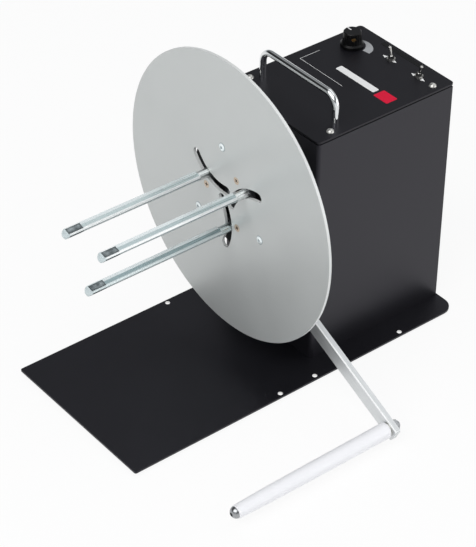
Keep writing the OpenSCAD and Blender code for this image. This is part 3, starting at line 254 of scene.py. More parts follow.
# Box and panel screws
# Countersunk, pan and dome head screws and threaded spacers, cold headed from steel and driven home. Their
# nickel plating is bright, smooth and a little wavy.
nickel, tree, out = new_material("nickel_plated_steel")
place = add_node(tree, "ShaderNodeTexCoord").outputs["Object"]
wave = add_node(tree, "ShaderNodeTexNoise", {"Vector": place, "Scale": 1000 / 2.5, "Detail": 3.0})
tone = add_node(tree, "ShaderNodeMix", {
    mix_by: wave.outputs["Fac"], mix_from: linear("#b9b8b4"), mix_to: linear("#dcdbd7")},
    data_type="RGBA")
gloss = add_node(tree, "ShaderNodeMapRange", {
    "Value": wave.outputs["Fac"], "To Min": 0.32, "To Max": 0.42})
shade = add_node(tree, "ShaderNodeBsdfPrincipled", {
    "Base Color": tone.outputs[mixed], "Metallic": 1.0, "Roughness": gloss.outputs[0]})
tree.links.new(shade.outputs[0], out.inputs["Surface"])
finish_nodes(nickel, "housing_screws", "rear_panel_screws", "top_panel_screws", "handle_screws",
             "spindle_housing_screws", "bracket_screws", "motor_screws", "board_standoffs")


# Power inlet, potentiometer and switch bodies
# Nylon bodies, moulded: the inlet sits in the rear panel, the others hang under the top panel. They are
# matt black with a fine spark-eroded grain.
nylon, tree, out = new_material("moulded_black_nylon")
place = add_node(tree, "ShaderNodeTexCoord").outputs["Object"]
grain = add_node(tree, "ShaderNodeTexNoise", {"Vector": place, "Scale": 1000 / 0.5, "Detail": 2.0})
tone = add_node(tree, "ShaderNodeMix", {
    mix_by: grain.outputs["Fac"], mix_from: linear("#101011"), mix_to: linear("#1b1b1d")},
    data_type="RGBA")
bump = add_node(tree, "ShaderNodeBump", {
    "Height": grain.outputs["Fac"], "Strength": 0.2, "Distance": 0.0003})
shade = add_node(tree, "ShaderNodeBsdfPrincipled", {
    "Base Color": tone.outputs[mixed], "Roughness": 0.5, "IOR": 1.53, "Normal": bump.outputs[0]})
tree.links.new(shade.outputs[0], out.inputs["Surface"])
finish_nodes(nylon, "power_inlet", "potentiometer", "direction_switch", "torque_switch")


# Gear motor and dancer sensor
# A brushed motor in a steel can on a die-cast gearbox, screwed to its bracket, and the sensor's cup behind
# the front wall. Both are sprayed with grey enamel, a little mottled.
enamel, tree, out = new_material("grey_enamel_on_steel")
place = add_node(tree, "ShaderNodeTexCoord").outputs["Object"]
mottle = add_node(tree, "ShaderNodeTexNoise", {"Vector": place, "Scale": 1000 / 12, "Detail": 4.0})
tone = add_node(tree, "ShaderNodeMix", {
    mix_by: mottle.outputs["Fac"], mix_from: linear("#3c4046"), mix_to: linear("#565b62")},
    data_type="RGBA")
bump = add_node(tree, "ShaderNodeBump", {
    "Height": mottle.outputs["Fac"], "Strength": 0.1, "Distance": 0.0005})
shade = add_node(tree, "ShaderNodeBsdfPrincipled", {
    "Base Color": tone.outputs[mixed], "Roughness": 0.38, "IOR": 1.5, "Normal": bump.outputs[0]})
tree.links.new(shade.outputs[0], out.inputs["Surface"])
finish_nodes(enamel, "gear_motor", "dancer_sensor")


# Spindle housing, coupling, collar and spacers
# Aluminium, sawn, turned and milled: dull grey with tool lines about 0.6 mm apart, which are drawn coarser
# than real ones so that they show. Screws hold the housing and the spacers.
tool_pitch, wave_rate = 0.000592, 20  # a wave texture turns by 20 radians in a length of 1 / scale
turned_aluminium, tree, out = new_material("turned_aluminium")
place = add_node(tree, "ShaderNodeTexCoord").outputs["Object"]
lines = add_node(tree, "ShaderNodeTexWave", {
    "Vector": place, "Scale": math.tau / wave_rate / tool_pitch, "Distortion": 2.0, "Detail": 2.0},
    bands_direction="Y")
stain = add_node(tree, "ShaderNodeTexNoise", {"Vector": place, "Scale": 1000 / 25, "Detail": 4.0})
tone = add_node(tree, "ShaderNodeMix", {
    mix_by: stain.outputs["Fac"], mix_from: linear("#9a9c9e"), mix_to: linear("#bfc1c2")},
    data_type="RGBA")
bump = add_node(tree, "ShaderNodeBump", {
    "Height": lines.outputs["Fac"], "Strength": 0.06, "Distance": 0.0002})
shade = add_node(tree, "ShaderNodeBsdfPrincipled", {
    "Base Color": tone.outputs[mixed], "Metallic": 1.0, "Roughness": 0.36, "Normal": bump.outputs[0]})
tree.links.new(shade.outputs[0], out.inputs["Surface"])
finish_nodes(turned_aluminium, "spindle_housing", "shaft_coupling", "dancer_collar", "flange_spacers")


# Bearings, shafts, axle, bracket and stop pins
# Steel, bright drawn or ground, and lightly oiled, so that it mirrors softly, with fine streaks along the
# bar. The shafts run in the bearings and the bush, and the stop pins are fixed in the front wall.
ground_steel, tree, out = new_material("ground_steel")
place = add_node(tree, "ShaderNodeTexCoord").outputs["Object"]
along = add_node(tree, "ShaderNodeMapping", {"Vector": place, "Scale": (1.0, 0.04, 1.0)})
streak = add_node(tree, "ShaderNodeTexNoise", {
    "Vector": along.outputs[0], "Scale": 1000 / 0.7, "Detail": 3.0})
tone = add_node(tree, "ShaderNodeMix", {
    mix_by: streak.outputs["Fac"], mix_from: linear("#8f9194"), mix_to: linear("#b6b8ba")},
    data_type="RGBA")
gloss = add_node(tree, "ShaderNodeMapRange", {
    "Value": streak.outputs["Fac"], "To Min": 0.2, "To Max": 0.34})
shade = add_node(tree, "ShaderNodeBsdfPrincipled", {
    "Base Color": tone.outputs[mixed], "Metallic": 1.0, "Roughness": gloss.outputs[0]})
tree.links.new(shade.outputs[0], out.inputs["Surface"])
finish_nodes(ground_steel, "front_bearing", "rear_bearing", "drive_shaft", "motor_output_shaft",
             "motor_bracket", "dancer_shaft", "dancer_stops", "potentiometer_shaft", "roller_axle",
             "axle_nut")


# Control board
# Glass-fibre laminate under green solder mask, held on spacers, with the weave just showing through.
# The parts on it are moulded in black nylon and soldered down.
weave_pitch = 0.00237
solder_mask, tree, out = new_material("green_solder_mask")
place = add_node(tree, "ShaderNodeTexCoord").outputs["Object"]
weave = add_node(tree, "ShaderNodeTexWave", {
    "Vector": place, "Scale": math.tau / wave_rate / weave_pitch}, bands_direction="Z")
tone = add_node(tree, "ShaderNodeMix", {
    mix_by: weave.outputs["Fac"], mix_from: linear("#123d24"), mix_to: linear("#19502f")},
    data_type="RGBA")
shade = add_node(tree, "ShaderNodeBsdfPrincipled", {
    "Base Color": tone.outputs[mixed], "Roughness": 0.3, "IOR": 1.5})
tree.links.new(shade.outputs[0], out.inputs["Surface"])
finish_nodes(solder_mask, "control_board")
finish_nodes(nylon, "board_parts")


# Dancer bush
# A plain bearing of sintered bronze in the front wall, soaked in oil: warm brown metal with fine open
# grains.
bronze, tree, out = new_material("sintered_bronze")
place = add_node(tree, "ShaderNodeTexCoord").outputs["Object"]
grain = add_node(tree, "ShaderNodeTexNoise", {"Vector": place, "Scale": 1000 / 0.4, "Detail": 2.0})
tone = add_node(tree, "ShaderNodeMix", {
    mix_by: grain.outputs["Fac"], mix_from: linear("#7d5a34"), mix_to: linear("#ab8250")},
    data_type="RGBA")
shade = add_node(tree, "ShaderNodeBsdfPrincipled", {
    "Base Color": tone.outputs[mixed], "Metallic": 1.0, "Roughness": 0.42})
tree.links.new(shade.outputs[0], out.inputs["Surface"])
finish_nodes(bronze, "dancer_bush")


# Top panel
# Steel plate, its edges eased, powder coated and screwed down on the box. A smooth printed film on it makes
# it a little darker and glossier than the box.
panel_coat, tree, out = new_material("satin_black_panel")
place = add_node(tree, "ShaderNodeTexCoord").outputs["Object"]
peel = add_node(tree, "ShaderNodeTexNoise", {"Vector": place, "Scale": 1000 / 0.6, "Detail": 2.0})
film = add_node(tree, "ShaderNodeTexNoise", {"Vector": place, "Scale": 1000 / 60, "Detail": 3.0})
tone = add_node(tree, "ShaderNodeMix", {
    mix_by: film.outputs["Fac"], mix_from: linear("#0e0e11"), mix_to: linear("#131317")},
    data_type="RGBA")
gloss = add_node(tree, "ShaderNodeMapRange", {
    "Value": film.outputs["Fac"], "To Min": 0.36, "To Max": 0.42})
bump = add_node(tree, "ShaderNodeBump", {
    "Height": peel.outputs["Fac"], "Strength": 0.08, "Distance": 0.0002})
shade = add_node(tree, "ShaderNodeBsdfPrincipled", {
    "Base Color": tone.outputs[mixed], "Roughness": gloss.outputs[0], "IOR": 1.5, "Specular IOR Level": 0.34,
    "Specular Tint": linear("#f2efff"), "Normal": bump.outputs[0]})
tree.links.new(shade.outputs[0], out.inputs["Surface"])


def ease_edges(node, name, width, material):
    """A copy of a CAD node with its sharp edges eased, as a file leaves them, to stand for the node."""
    merge, flat, sharp = 0.000002, math.radians(0.5), math.radians(40)
    bpy.ops.object.select_all(action="DESELECT")
    eased = bpy.data.objects.new(name, parts[node].data.copy())
    bpy.context.scene.collection.objects.link(eased)
    bpy.context.view_layer.objects.active = eased
    eased.select_set(True)
    bpy.ops.object.mode_set(mode="EDIT")
    bpy.ops.mesh.select_all(action="SELECT")
    bpy.ops.mesh.remove_doubles(threshold=merge)
    bpy.ops.mesh.dissolve_limited(angle_limit=flat)
    bpy.ops.object.mode_set(mode="OBJECT")
    bpy.ops.object.shade_smooth_by_angle(angle=sharp)
    edge = eased.modifiers.new("eased_edge", "BEVEL")
    edge.width = width
    edge.segments = 3
    edge.limit_method = "ANGLE"
    edge.angle_limit = sharp
    edge.harden_normals = True
    bpy.ops.object.modifier_apply(modifier=edge.name)
    eased.data.materials.clear()
    eased.data.materials.append(material)
    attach(eased, parts[node]["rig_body"])
    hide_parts(node)
    bpy.ops.object.select_all(action="DESELECT")


panel_ease = 0.0005
ease_edges("top_panel", "eased_panel", panel_ease, panel_coat)


# Carry handle
# A round steel bar, bent, polished and chromium plated, held by a screw up into each leg. It mirrors all
# round, with a faint haze from handling.
chrome, tree, out = new_material("chromium_plate")
place = add_node(tree, "ShaderNodeTexCoord").outputs["Object"]
haze = add_node(tree, "ShaderNodeTexNoise", {"Vector": place, "Scale": 1000 / 6, "Detail": 3.0})
gloss = add_node(tree, "ShaderNodeMapRange", {
    "Value": haze.outputs["Fac"], "To Min": 0.04, "To Max": 0.07})
tone = add_node(tree, "ShaderNodeMix", {
    mix_by: haze.outputs["Fac"], mix_from: linear("#dcdedf"), mix_to: linear("#e8eaeb")},
    data_type="RGBA")
shade = add_node(tree, "ShaderNodeBsdfPrincipled", {
    "Base Color": tone.outputs[mixed], "Metallic": 1.0, "Roughness": gloss.outputs[0]})
tree.links.new(shade.outputs[0], out.inputs["Surface"])
finish_nodes(chrome, "carry_handle")


# Printed marks on the panel
# White, grey and red screen ink: a corner of frame line, a wedge from less to more round the knob, an
# arrowhead on each side of the switches, and a plain bar with a red block. All lie on the panel's film.
panel_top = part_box("top_panel")[1].z
ink_depth = 0.00008


def screen_ink(name, hex_colour, darker):
    """Screen ink of one colour: matt, with the mesh's faint pinholes about 0.4 mm apart."""
    ink, tree, out = new_material(name)
    place = add_node(tree, "ShaderNodeTexCoord").outputs["Object"]
    holes = add_node(tree, "ShaderNodeTexNoise", {"Vector": place, "Scale": 1000 / 0.4, "Detail": 1.0})
    tone = add_node(tree, "ShaderNodeMix", {
        mix_by: holes.outputs["Fac"], mix_from: linear(hex_colour), mix_to: linear(darker)},
        data_type="RGBA")
    shade = add_node(tree, "ShaderNodeBsdfPrincipled", {
        "Base Color": tone.outputs[mixed], "Roughness": 0.55, "IOR": 1.48, "Specular IOR Level": 0.2})
    tree.links.new(shade.outputs[0], out.inputs["Surface"])
    return ink


white_ink = screen_ink("white_screen_ink", "#f0f0f0", "#e4e4e4")
grey_ink = screen_ink("grey_screen_ink", "#abadaf", "#9b9da0")
red_ink = screen_ink("red_screen_ink", "#e0113b", "#cc0f35")


def select_edges(test):
    """In edit mode, selects the edges whose middle passes the test, and nothing else."""
    mesh = bmesh.from_edit_mesh(bpy.context.object.data)
    for face in mesh.faces:
        face.select_set(False)
    for edge in mesh.edges:
        edge.select_set(False)
    for vert in mesh.verts:
        vert.select_set(False)
    mesh.select_mode = {"EDGE"}
    for edge in mesh.edges:
        edge.select_set(test((edge.verts[0].co + edge.verts[1].co) / 2))
    mesh.select_flush_mode()
    bmesh.update_edit_mesh(bpy.context.object.data)


def lay_ink(piece, ink, body="frame", depth=ink_depth):
    """Ends edit mode, gives the flat print its thickness upwards, and fixes it to what carries it."""
    bpy.ops.object.mode_set(mode="OBJECT")
    if piece.data.polygons[0].normal.z < 0:
        piece.data.flip_normals()
    layer = piece.modifiers.new("ink", "SOLIDIFY")
    layer.thickness = depth
    layer.offset = 1.0
    bpy.ops.object.modifier_apply(modifier=layer.name)
    piece.data.materials.append(ink)
    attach(piece, body)
    bpy.ops.object.select_all(action="DESELECT")


# frame line: a short leg to the back and a long leg to the right, 0.4 mm wide
line_x, line_y, line_width = -0.0567, 0.0617, 0.0004
back_leg, right_leg = (0.0001, 0.0249, 0), (0.0634, -0.0006, 0)
bpy.ops.mesh.primitive_plane_add(size=1.0, location=(line_x, line_y, panel_top))
frame_line = bpy.context.object
frame_line.name = "frame_line"
frame_line.scale = (line_width, line_width, 1)
bpy.ops.object.transform_apply(location=True, scale=True)
bpy.ops.object.mode_set(mode="EDIT")
bpy.ops.mesh.select_mode(type="EDGE")
select_edges(lambda middle: middle.y > line_y + 0.4 * line_width)
bpy.ops.mesh.extrude_region_move(TRANSFORM_OT_translate={"value": back_leg})
select_edges(lambda middle: middle.x > line_x + 0.4 * line_width and middle.y < line_y + 0.9 * line_width)
bpy.ops.mesh.extrude_region_move(TRANSFORM_OT_translate={"value": right_leg})
lay_ink(frame_line, white_ink)

# wedge: an arc about the knob that grows from nothing at the back to its full width on the right
knob_low, knob_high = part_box("torque_knob")
knob_middle = (knob_low + knob_high) / 2
wedge_sweep, wedge_turn = math.radians(91), math.radians(9)
wedge_blank, wedge_sliver, merge_distance = 0.0010, 0.0001, 0.000001
wedge_start, wedge_inner, wedge_outer, wedge_growth = 0.0145, 0.0138, 0.0141, 0.0083
wedge_curve, wedge_steepness = 0.9, 1.25
bpy.ops.mesh.primitive_plane_add(size=1.0, location=(wedge_start, 0, 0))
less_to_more = bpy.context.object
less_to_more.name = "less_to_more_wedge"
less_to_more.scale = (wedge_blank, wedge_sliver, 1)
bpy.ops.object.transform_apply(location=True, scale=True)
bpy.ops.object.mode_set(mode="EDIT")
bpy.ops.mesh.select_mode(type="EDGE")
select_edges(lambda middle: middle.y > 0.4 * wedge_sliver)
bpy.ops.mesh.spin(steps=30, angle=-wedge_sweep, center=(0, 0, 0), axis=(0, 0, 1))
mesh = bmesh.from_edit_mesh(less_to_more.data)
for vert in mesh.verts:
    turn = math.atan2(vert.co.y, vert.co.x)
    reach = math.hypot(vert.co.x, vert.co.y)
    grow = max(0.0, 1.0 - abs(turn) / wedge_sweep) ** wedge_curve
    widest = wedge_outer + wedge_growth * min(1.0, grow * wedge_steepness)
    wanted = wedge_inner if reach < wedge_start else widest
    vert.co.x, vert.co.y = wanted * math.cos(turn), wanted * math.sin(turn)
bmesh.update_edit_mesh(less_to_more.data)
bpy.ops.mesh.select_all(action="SELECT")
bpy.ops.mesh.remove_doubles(threshold=merge_distance)
bpy.ops.mesh.normals_make_consistent(inside=False)
bpy.ops.object.mode_set(mode="OBJECT")
less_to_more.rotation_euler = (0, 0, wedge_turn)
less_to_more.location = (knob_middle.x, knob_middle.y, panel_top)
bpy.ops.object.transform_apply(location=True, rotation=True)
bpy.ops.object.mode_set(mode="EDIT")
lay_ink(less_to_more, grey_ink)

# arrowheads: a triangle on each side of each switch, pointing away from it
arrow_radius, arrow_slimness, arrow_corner = 0.0034, 0.72, 0.00025
for arrow_name, arrow_x, arrow_y, points_right in (
    ("direction_arrow_left", -0.0087, 0.1302, False), ("direction_arrow_right", 0.0040, 0.1306, True),
    ("torque_arrow_left", 0.0333, 0.1296, False), ("torque_arrow_right", 0.0460, 0.1296, True),
):
    bpy.ops.mesh.primitive_circle_add(
        vertices=3, radius=arrow_radius, fill_type="NGON", location=(arrow_x, arrow_y, panel_top),
        rotation=(0, 0, math.radians(-90 if points_right else 90)))
    arrowhead = bpy.context.object
    arrowhead.name = arrow_name
    arrowhead.scale = (arrow_slimness, 1, 1)
    bpy.ops.object.transform_apply(location=True, rotation=True, scale=True)
    bpy.ops.object.mode_set(mode="EDIT")
    bpy.ops.mesh.select_all(action="SELECT")
    bpy.ops.mesh.bevel(offset=arrow_corner, affect="VERTICES", segments=2)
    lay_ink(arrowhead, white_ink)

# bar and block: plain white and plain red, with round corners
title_corner = 0.0012
for bar_name, low, high, ink in (
    ("title_bar", (-0.0215, 0.0770), (0.0335, 0.0850), white_ink),
    ("title_block", (0.0370, 0.0740), (0.0565, 0.0880), red_ink),
):
    bar_middle = ((low[0] + high[0]) / 2, (low[1] + high[1]) / 2, panel_top)
    bpy.ops.mesh.primitive_plane_add(size=1.0, location=bar_middle)
    bar = bpy.context.object
    bar.name = bar_name
    bar.scale = (high[0] - low[0], high[1] - low[1], 1)
    bpy.ops.object.transform_apply(location=True, scale=True)
    bpy.ops.object.mode_set(mode="EDIT")
    bpy.ops.mesh.bevel(offset=title_corner, affect="VERTICES", segments=3)
    lay_ink(bar, ink)


# Bare strip
# A strip of gloss black film along the panel's back edge, cut with round corners and stuck down. It is
# smoother than the panel round it, so it mirrors more.
strip_x, strip_y, strip_length, strip_width, strip_corner = -0.0008, 0.1452, 0.0570, 0.0056, 0.0008
gloss_film, tree, out = new_material("gloss_black_film")
place = add_node(tree, "ShaderNodeTexCoord").outputs["Object"]
ripple = add_node(tree, "ShaderNodeTexNoise", {"Vector": place, "Scale": 1000 / 9, "Detail": 2.0})
tone = add_node(tree, "ShaderNodeMix", {
    mix_by: ripple.outputs["Fac"], mix_from: linear("#040405"), mix_to: linear("#08080a")},
    data_type="RGBA")
bump = add_node(tree, "ShaderNodeBump", {
    "Height": ripple.outputs["Fac"], "Strength": 0.05, "Distance": 0.0002})
shade = add_node(tree, "ShaderNodeBsdfPrincipled", {
    "Base Color": tone.outputs[mixed], "Roughness": 0.22, "IOR": 1.46, "Normal": bump.outputs[0]})
tree.links.new(shade.outputs[0], out.inputs["Surface"])
bpy.ops.mesh.primitive_plane_add(size=1.0, location=(strip_x, strip_y, panel_top))
bare_strip = bpy.context.object
bare_strip.name = "bare_strip"
bare_strip.scale = (strip_length, strip_width, 1)
bpy.ops.object.transform_apply(location=True, scale=True)
bpy.ops.object.mode_set(mode="EDIT")
bpy.ops.mesh.bevel(offset=strip_corner, affect="VERTICES", segments=3)
lay_ink(bare_strip, gloss_film)


# Torque knob
# Phenolic, compression moulded, pushed on the potentiometer's shaft and locked by a set screw: deep black
# with a soft shine. Its top face is painted lighter, a painted highlight where the light from above falls.
top_face_depth = 0.0003
phenolic, tree, out = new_material("moulded_black_phenolic")
place = add_node(tree, "ShaderNodeTexCoord").outputs["Object"]
split = add_node(tree, "ShaderNodeSeparateXYZ", {"Vector": place})
flow = add_node(tree, "ShaderNodeTexNoise", {"Vector": place, "Scale": 1000 / 3, "Detail": 4.0})
# painted highlight: the top face is painted lighter than the body
top_face = add_node(tree, "ShaderNodeMath", {0: split.outputs["Z"], 1: knob_high.z - top_face_depth},
                    operation="GREATER_THAN")
body_tone = add_node(tree, "ShaderNodeMix", {
    mix_by: flow.outputs["Fac"], mix_from: linear("#040405"), mix_to: linear("#080809")},
    data_type="RGBA")
tone = add_node(tree, "ShaderNodeMix", {
    mix_by: top_face.outputs[0], mix_from: body_tone.outputs[mixed], mix_to: linear("#151517")},
    data_type="RGBA")
gloss = add_node(tree, "ShaderNodeMapRange", {
    "Value": flow.outputs["Fac"], "To Min": 0.28, "To Max": 0.4})
shade = add_node(tree, "ShaderNodeBsdfPrincipled", {
    "Base Color": tone.outputs[mixed], "Roughness": gloss.outputs[0], "IOR": 1.6,
    "Specular IOR Level": 0.16})
tree.links.new(shade.outputs[0], out.inputs["Surface"])
finish_nodes(phenolic, "torque_knob")

# pointer: white paint wiped into the groove across the knob's top
pointer_angle, pointer_reach = math.radians(176), 0.0056
pointer_length, pointer_width, pointer_corner = 0.0066, 0.00135, 0.0003
groove_depth, paint_depth = 0.0006, 0.00062
bpy.ops.mesh.primitive_plane_add(size=1.0, location=(pointer_reach, 0, knob_high.z - groove_depth))
pointer_line = bpy.context.object
pointer_line.name = "pointer_line"
pointer_line.scale = (pointer_length, pointer_width, 1)
bpy.ops.object.transform_apply(location=True, scale=True)
pointer_line.rotation_euler = (0, 0, pointer_angle)
pointer_line.location = (knob_middle.x, knob_middle.y, 0)
bpy.ops.object.transform_apply(location=True, rotation=True)
bpy.ops.object.mode_set(mode="EDIT")
bpy.ops.mesh.bevel(offset=pointer_corner, affect="VERTICES", segments=2)
lay_ink(pointer_line, white_ink, "knob", paint_depth)


# Knob set screw
# A slotted grub screw of plain brass, turned, that bears on the potentiometer's shaft: yellow, and a little
# tarnished in patches.
brass, tree, out = new_material("plain_brass")
place = add_node(tree, "ShaderNodeTexCoord").outputs["Object"]
tarnish = add_node(tree, "ShaderNodeTexNoise", {"Vector": place, "Scale": 1000 / 1.5, "Detail": 3.0})
tone = add_node(tree, "ShaderNodeMix", {
    mix_by: tarnish.outputs["Fac"], mix_from: linear("#c79a58"), mix_to: linear("#efd196")},
    data_type="RGBA")
shade = add_node(tree, "ShaderNodeBsdfPrincipled", {
    "Base Color": tone.outputs[mixed], "Metallic": 1.0, "Roughness": 0.28})
tree.links.new(shade.outputs[0], out.inputs["Surface"])
finish_nodes(brass, "knob_set_screw")


# Switch nuts and levers
# Turned brass under nickel: hexagonal nuts that hold the switches to the panel, and round bat levers, which
# are barrel polished to a darker shine.
finish_nodes(nickel, "control_nuts")
polished_nickel, tree, out = new_material("barrel_polished_nickel")
place = add_node(tree, "ShaderNodeTexCoord").outputs["Object"]
wave = add_node(tree, "ShaderNodeTexNoise", {"Vector": place, "Scale": 1000 / 2, "Detail": 2.0})
tone = add_node(tree, "ShaderNodeMix", {
    mix_by: wave.outputs["Fac"], mix_from: linear("#a9a8a5"), mix_to: linear("#c4c3c0")},
    data_type="RGBA")
shade = add_node(tree, "ShaderNodeBsdfPrincipled", {
    "Base Color": tone.outputs[mixed], "Metallic": 1.0, "Roughness": 0.16})
tree.links.new(shade.outputs[0], out.inputs["Surface"])
finish_nodes(polished_nickel, "direction_lever", "torque_lever")


# Flange disc
# Aluminium sheet, laser cut, bead blasted and clear anodised, screwed to spacers on the hub plate: an even
# matt grey that mirrors only softly. The cut edges of the rim and the slots are painted paler:
# a painted highlight.
disc_low, disc_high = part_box("flange_disc")
face_skin = 0.00015
anodised, tree, out = new_material("clear_anodised_aluminium")
place = add_node(tree, "ShaderNodeTexCoord").outputs["Object"]
blast = add_node(tree, "ShaderNodeTexNoise", {"Vector": place, "Scale": 1000 / 0.7, "Detail": 2.0})
cloud = add_node(tree, "ShaderNodeTexNoise", {"Vector": place, "Scale": 1000 / 70, "Detail": 3.0})
tone = add_node(tree, "ShaderNodeMix", {
    mix_by: cloud.outputs["Fac"], mix_from: linear("#bfc2c1"), mix_to: linear("#c7cac9")},
    data_type="RGBA")
gloss = add_node(tree, "ShaderNodeMapRange", {
    "Value": cloud.outputs["Fac"], "To Min": 0.36, "To Max": 0.44})
bump = add_node(tree, "ShaderNodeBump", {
    "Height": blast.outputs["Fac"], "Strength": 0.05, "Distance": 0.0002})
spot = add_node(tree, "ShaderNodeSeparateXYZ", {"Vector": place})
# painted highlight: the cut edges of the rim and the slots are painted paler
cut_edge_highlight = add_node(tree, "ShaderNodeMath", {0: spot.outputs["Y"], 1: disc_low.y + face_skin},
                    operation="GREATER_THAN")
tone = add_node(tree, "ShaderNodeMix", {
    mix_by: cut_edge_highlight.outputs[0], mix_from: tone.outputs[mixed], mix_to: linear("#dcdedd")}, data_type="RGBA")
metal = add_node(tree, "ShaderNodeMapRange", {"Value": cut_edge_highlight.outputs[0], "To Min": 0.4, "To Max": 0.1})
shade = add_node(tree, "ShaderNodeBsdfPrincipled", {
    "Base Color": tone.outputs[mixed], "Metallic": metal.outputs[0], "Roughness": gloss.outputs[0],
    "Normal": bump.outputs[0]})
tree.links.new(shade.outputs[0], out.inputs["Surface"])
finish_nodes(anodised, "flange_disc")


# Hub plate, swing arms and sun gear
# Steel plate, laser cut and blackened by phosphate: dark grey with a dry, even bloom. The plate sits on the
# shaft, the arms turn on pins in it, and the gear keeps them in step.
phosphate, tree, out = new_material("phosphated_steel")
place = add_node(tree, "ShaderNodeTexCoord").outputs["Object"]
bloom = add_node(tree, "ShaderNodeTexNoise", {"Vector": place, "Scale": 1000 / 4, "Detail": 5.0})
tone = add_node(tree, "ShaderNodeMix", {
    mix_by: bloom.outputs["Fac"], mix_from: linear("#242527"), mix_to: linear("#36373a")},
    data_type="RGBA")
shade = add_node(tree, "ShaderNodeBsdfPrincipled", {
    "Base Color": tone.outputs[mixed], "Metallic": 0.7, "Roughness": 0.5})
tree.links.new(shade.outputs[0], out.inputs["Surface"])
finish_nodes(phosphate, "hub_plate", "sun_gear", "swing_arm_1", "swing_arm_2", "swing_arm_3")


# Flange screws
# Countersunk screws that hold the disc to its spacers, steel with yellow chromate over zinc: pale gold with
# a faint rainbow, and painted dark in the recess as painted shade.
head_skin = 0.0002
recess_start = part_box("flange_screws")[0].y + head_skin
chromate, tree, out = new_material("yellow_zinc_chromate")
place = add_node(tree, "ShaderNodeTexCoord").outputs["Object"]
rainbow = add_node(tree, "ShaderNodeTexNoise", {"Vector": place, "Scale": 1000 / 2, "Detail": 2.0})
head_tone = add_node(tree, "ShaderNodeMix", {
    mix_by: rainbow.outputs["Fac"], mix_from: linear("#a9907a"), mix_to: linear("#d8cdbb")},
    data_type="RGBA")
depth = add_node(tree, "ShaderNodeSeparateXYZ", {"Vector": place})
# painted shade: the cross recess is painted dark
recess_shade = add_node(tree, "ShaderNodeMath", {0: depth.outputs["Y"], 1: recess_start},
                  operation="GREATER_THAN")
tone = add_node(tree, "ShaderNodeMix", {
    mix_by: recess_shade.outputs[0], mix_from: head_tone.outputs[mixed], mix_to: linear("#2a2018")},
    data_type="RGBA")
shade = add_node(tree, "ShaderNodeBsdfPrincipled", {
    "Base Color": tone.outputs[mixed], "Metallic": 0.8, "Roughness": 0.38})
tree.links.new(shade.outputs[0], out.inputs["Surface"])
finish_nodes(chromate, "flange_screws")


# Pivot pins
# Shouldered steel pins with low domed socket heads, on which the arms swing. Zinc plated: blue-white and
# soft, and painted greyer in the socket and round the rim as painted shade.
pivot_reach, pivot_turn, third = 0.0545, 97.7, 120
socket_radius, rim_radius, shade_fade = 0.0012, 0.0036, 0.0006
spindle_z = (disc_low.z + disc_high.z) / 2
pin_zinc, tree, out = new_material("zinc_plated_pin")
place = add_node(tree, "ShaderNodeTexCoord").outputs["Object"]
spot = add_node(tree, "ShaderNodeSeparateXYZ", {"Vector": place})
face_on = add_node(tree, "ShaderNodeCombineXYZ", {"X": spot.outputs["X"], "Z": spot.outputs["Z"]})
nearest = 1.0
for turn in (0, third, 2 * third):
    pin_angle = math.radians(pivot_turn + turn)
    pin_at = (pivot_reach * math.cos(pin_angle), 0, spindle_z + pivot_reach * math.sin(pin_angle))
    reach = add_node(tree, "ShaderNodeVectorMath", {
        0: face_on.outputs[0], 1: pin_at}, operation="DISTANCE")
    nearest = add_node(tree, "ShaderNodeMath", {
        0: reach.outputs["Value"], 1: nearest}, operation="MINIMUM").outputs[0]
# painted shade: darker in the socket and in a ring round the rim
socket = add_node(tree, "ShaderNodeMapRange", {
    "Value": nearest, "From Min": socket_radius, "From Max": socket_radius + shade_fade,
    "To Min": 1.0, "To Max": 0.0})
rim = add_node(tree, "ShaderNodeMapRange", {
    "Value": nearest, "From Min": rim_radius, "From Max": rim_radius + shade_fade})
socket_and_rim_shade = add_node(tree, "ShaderNodeMath", {0: socket.outputs[0], 1: rim.outputs[0]}, operation="MAXIMUM")
tone = add_node(tree, "ShaderNodeMix", {
    mix_by: socket_and_rim_shade.outputs[0], mix_from: linear("#f3fafb"), mix_to: linear("#98a3a6")}, data_type="RGBA")
shade = add_node(tree, "ShaderNodeBsdfPrincipled", {
    "Base Color": tone.outputs[mixed], "Metallic": 0.4, "Roughness": 0.42})
tree.links.new(shade.outputs[0], out.inputs["Surface"])
finish_nodes(pin_zinc, "pivot_pins")
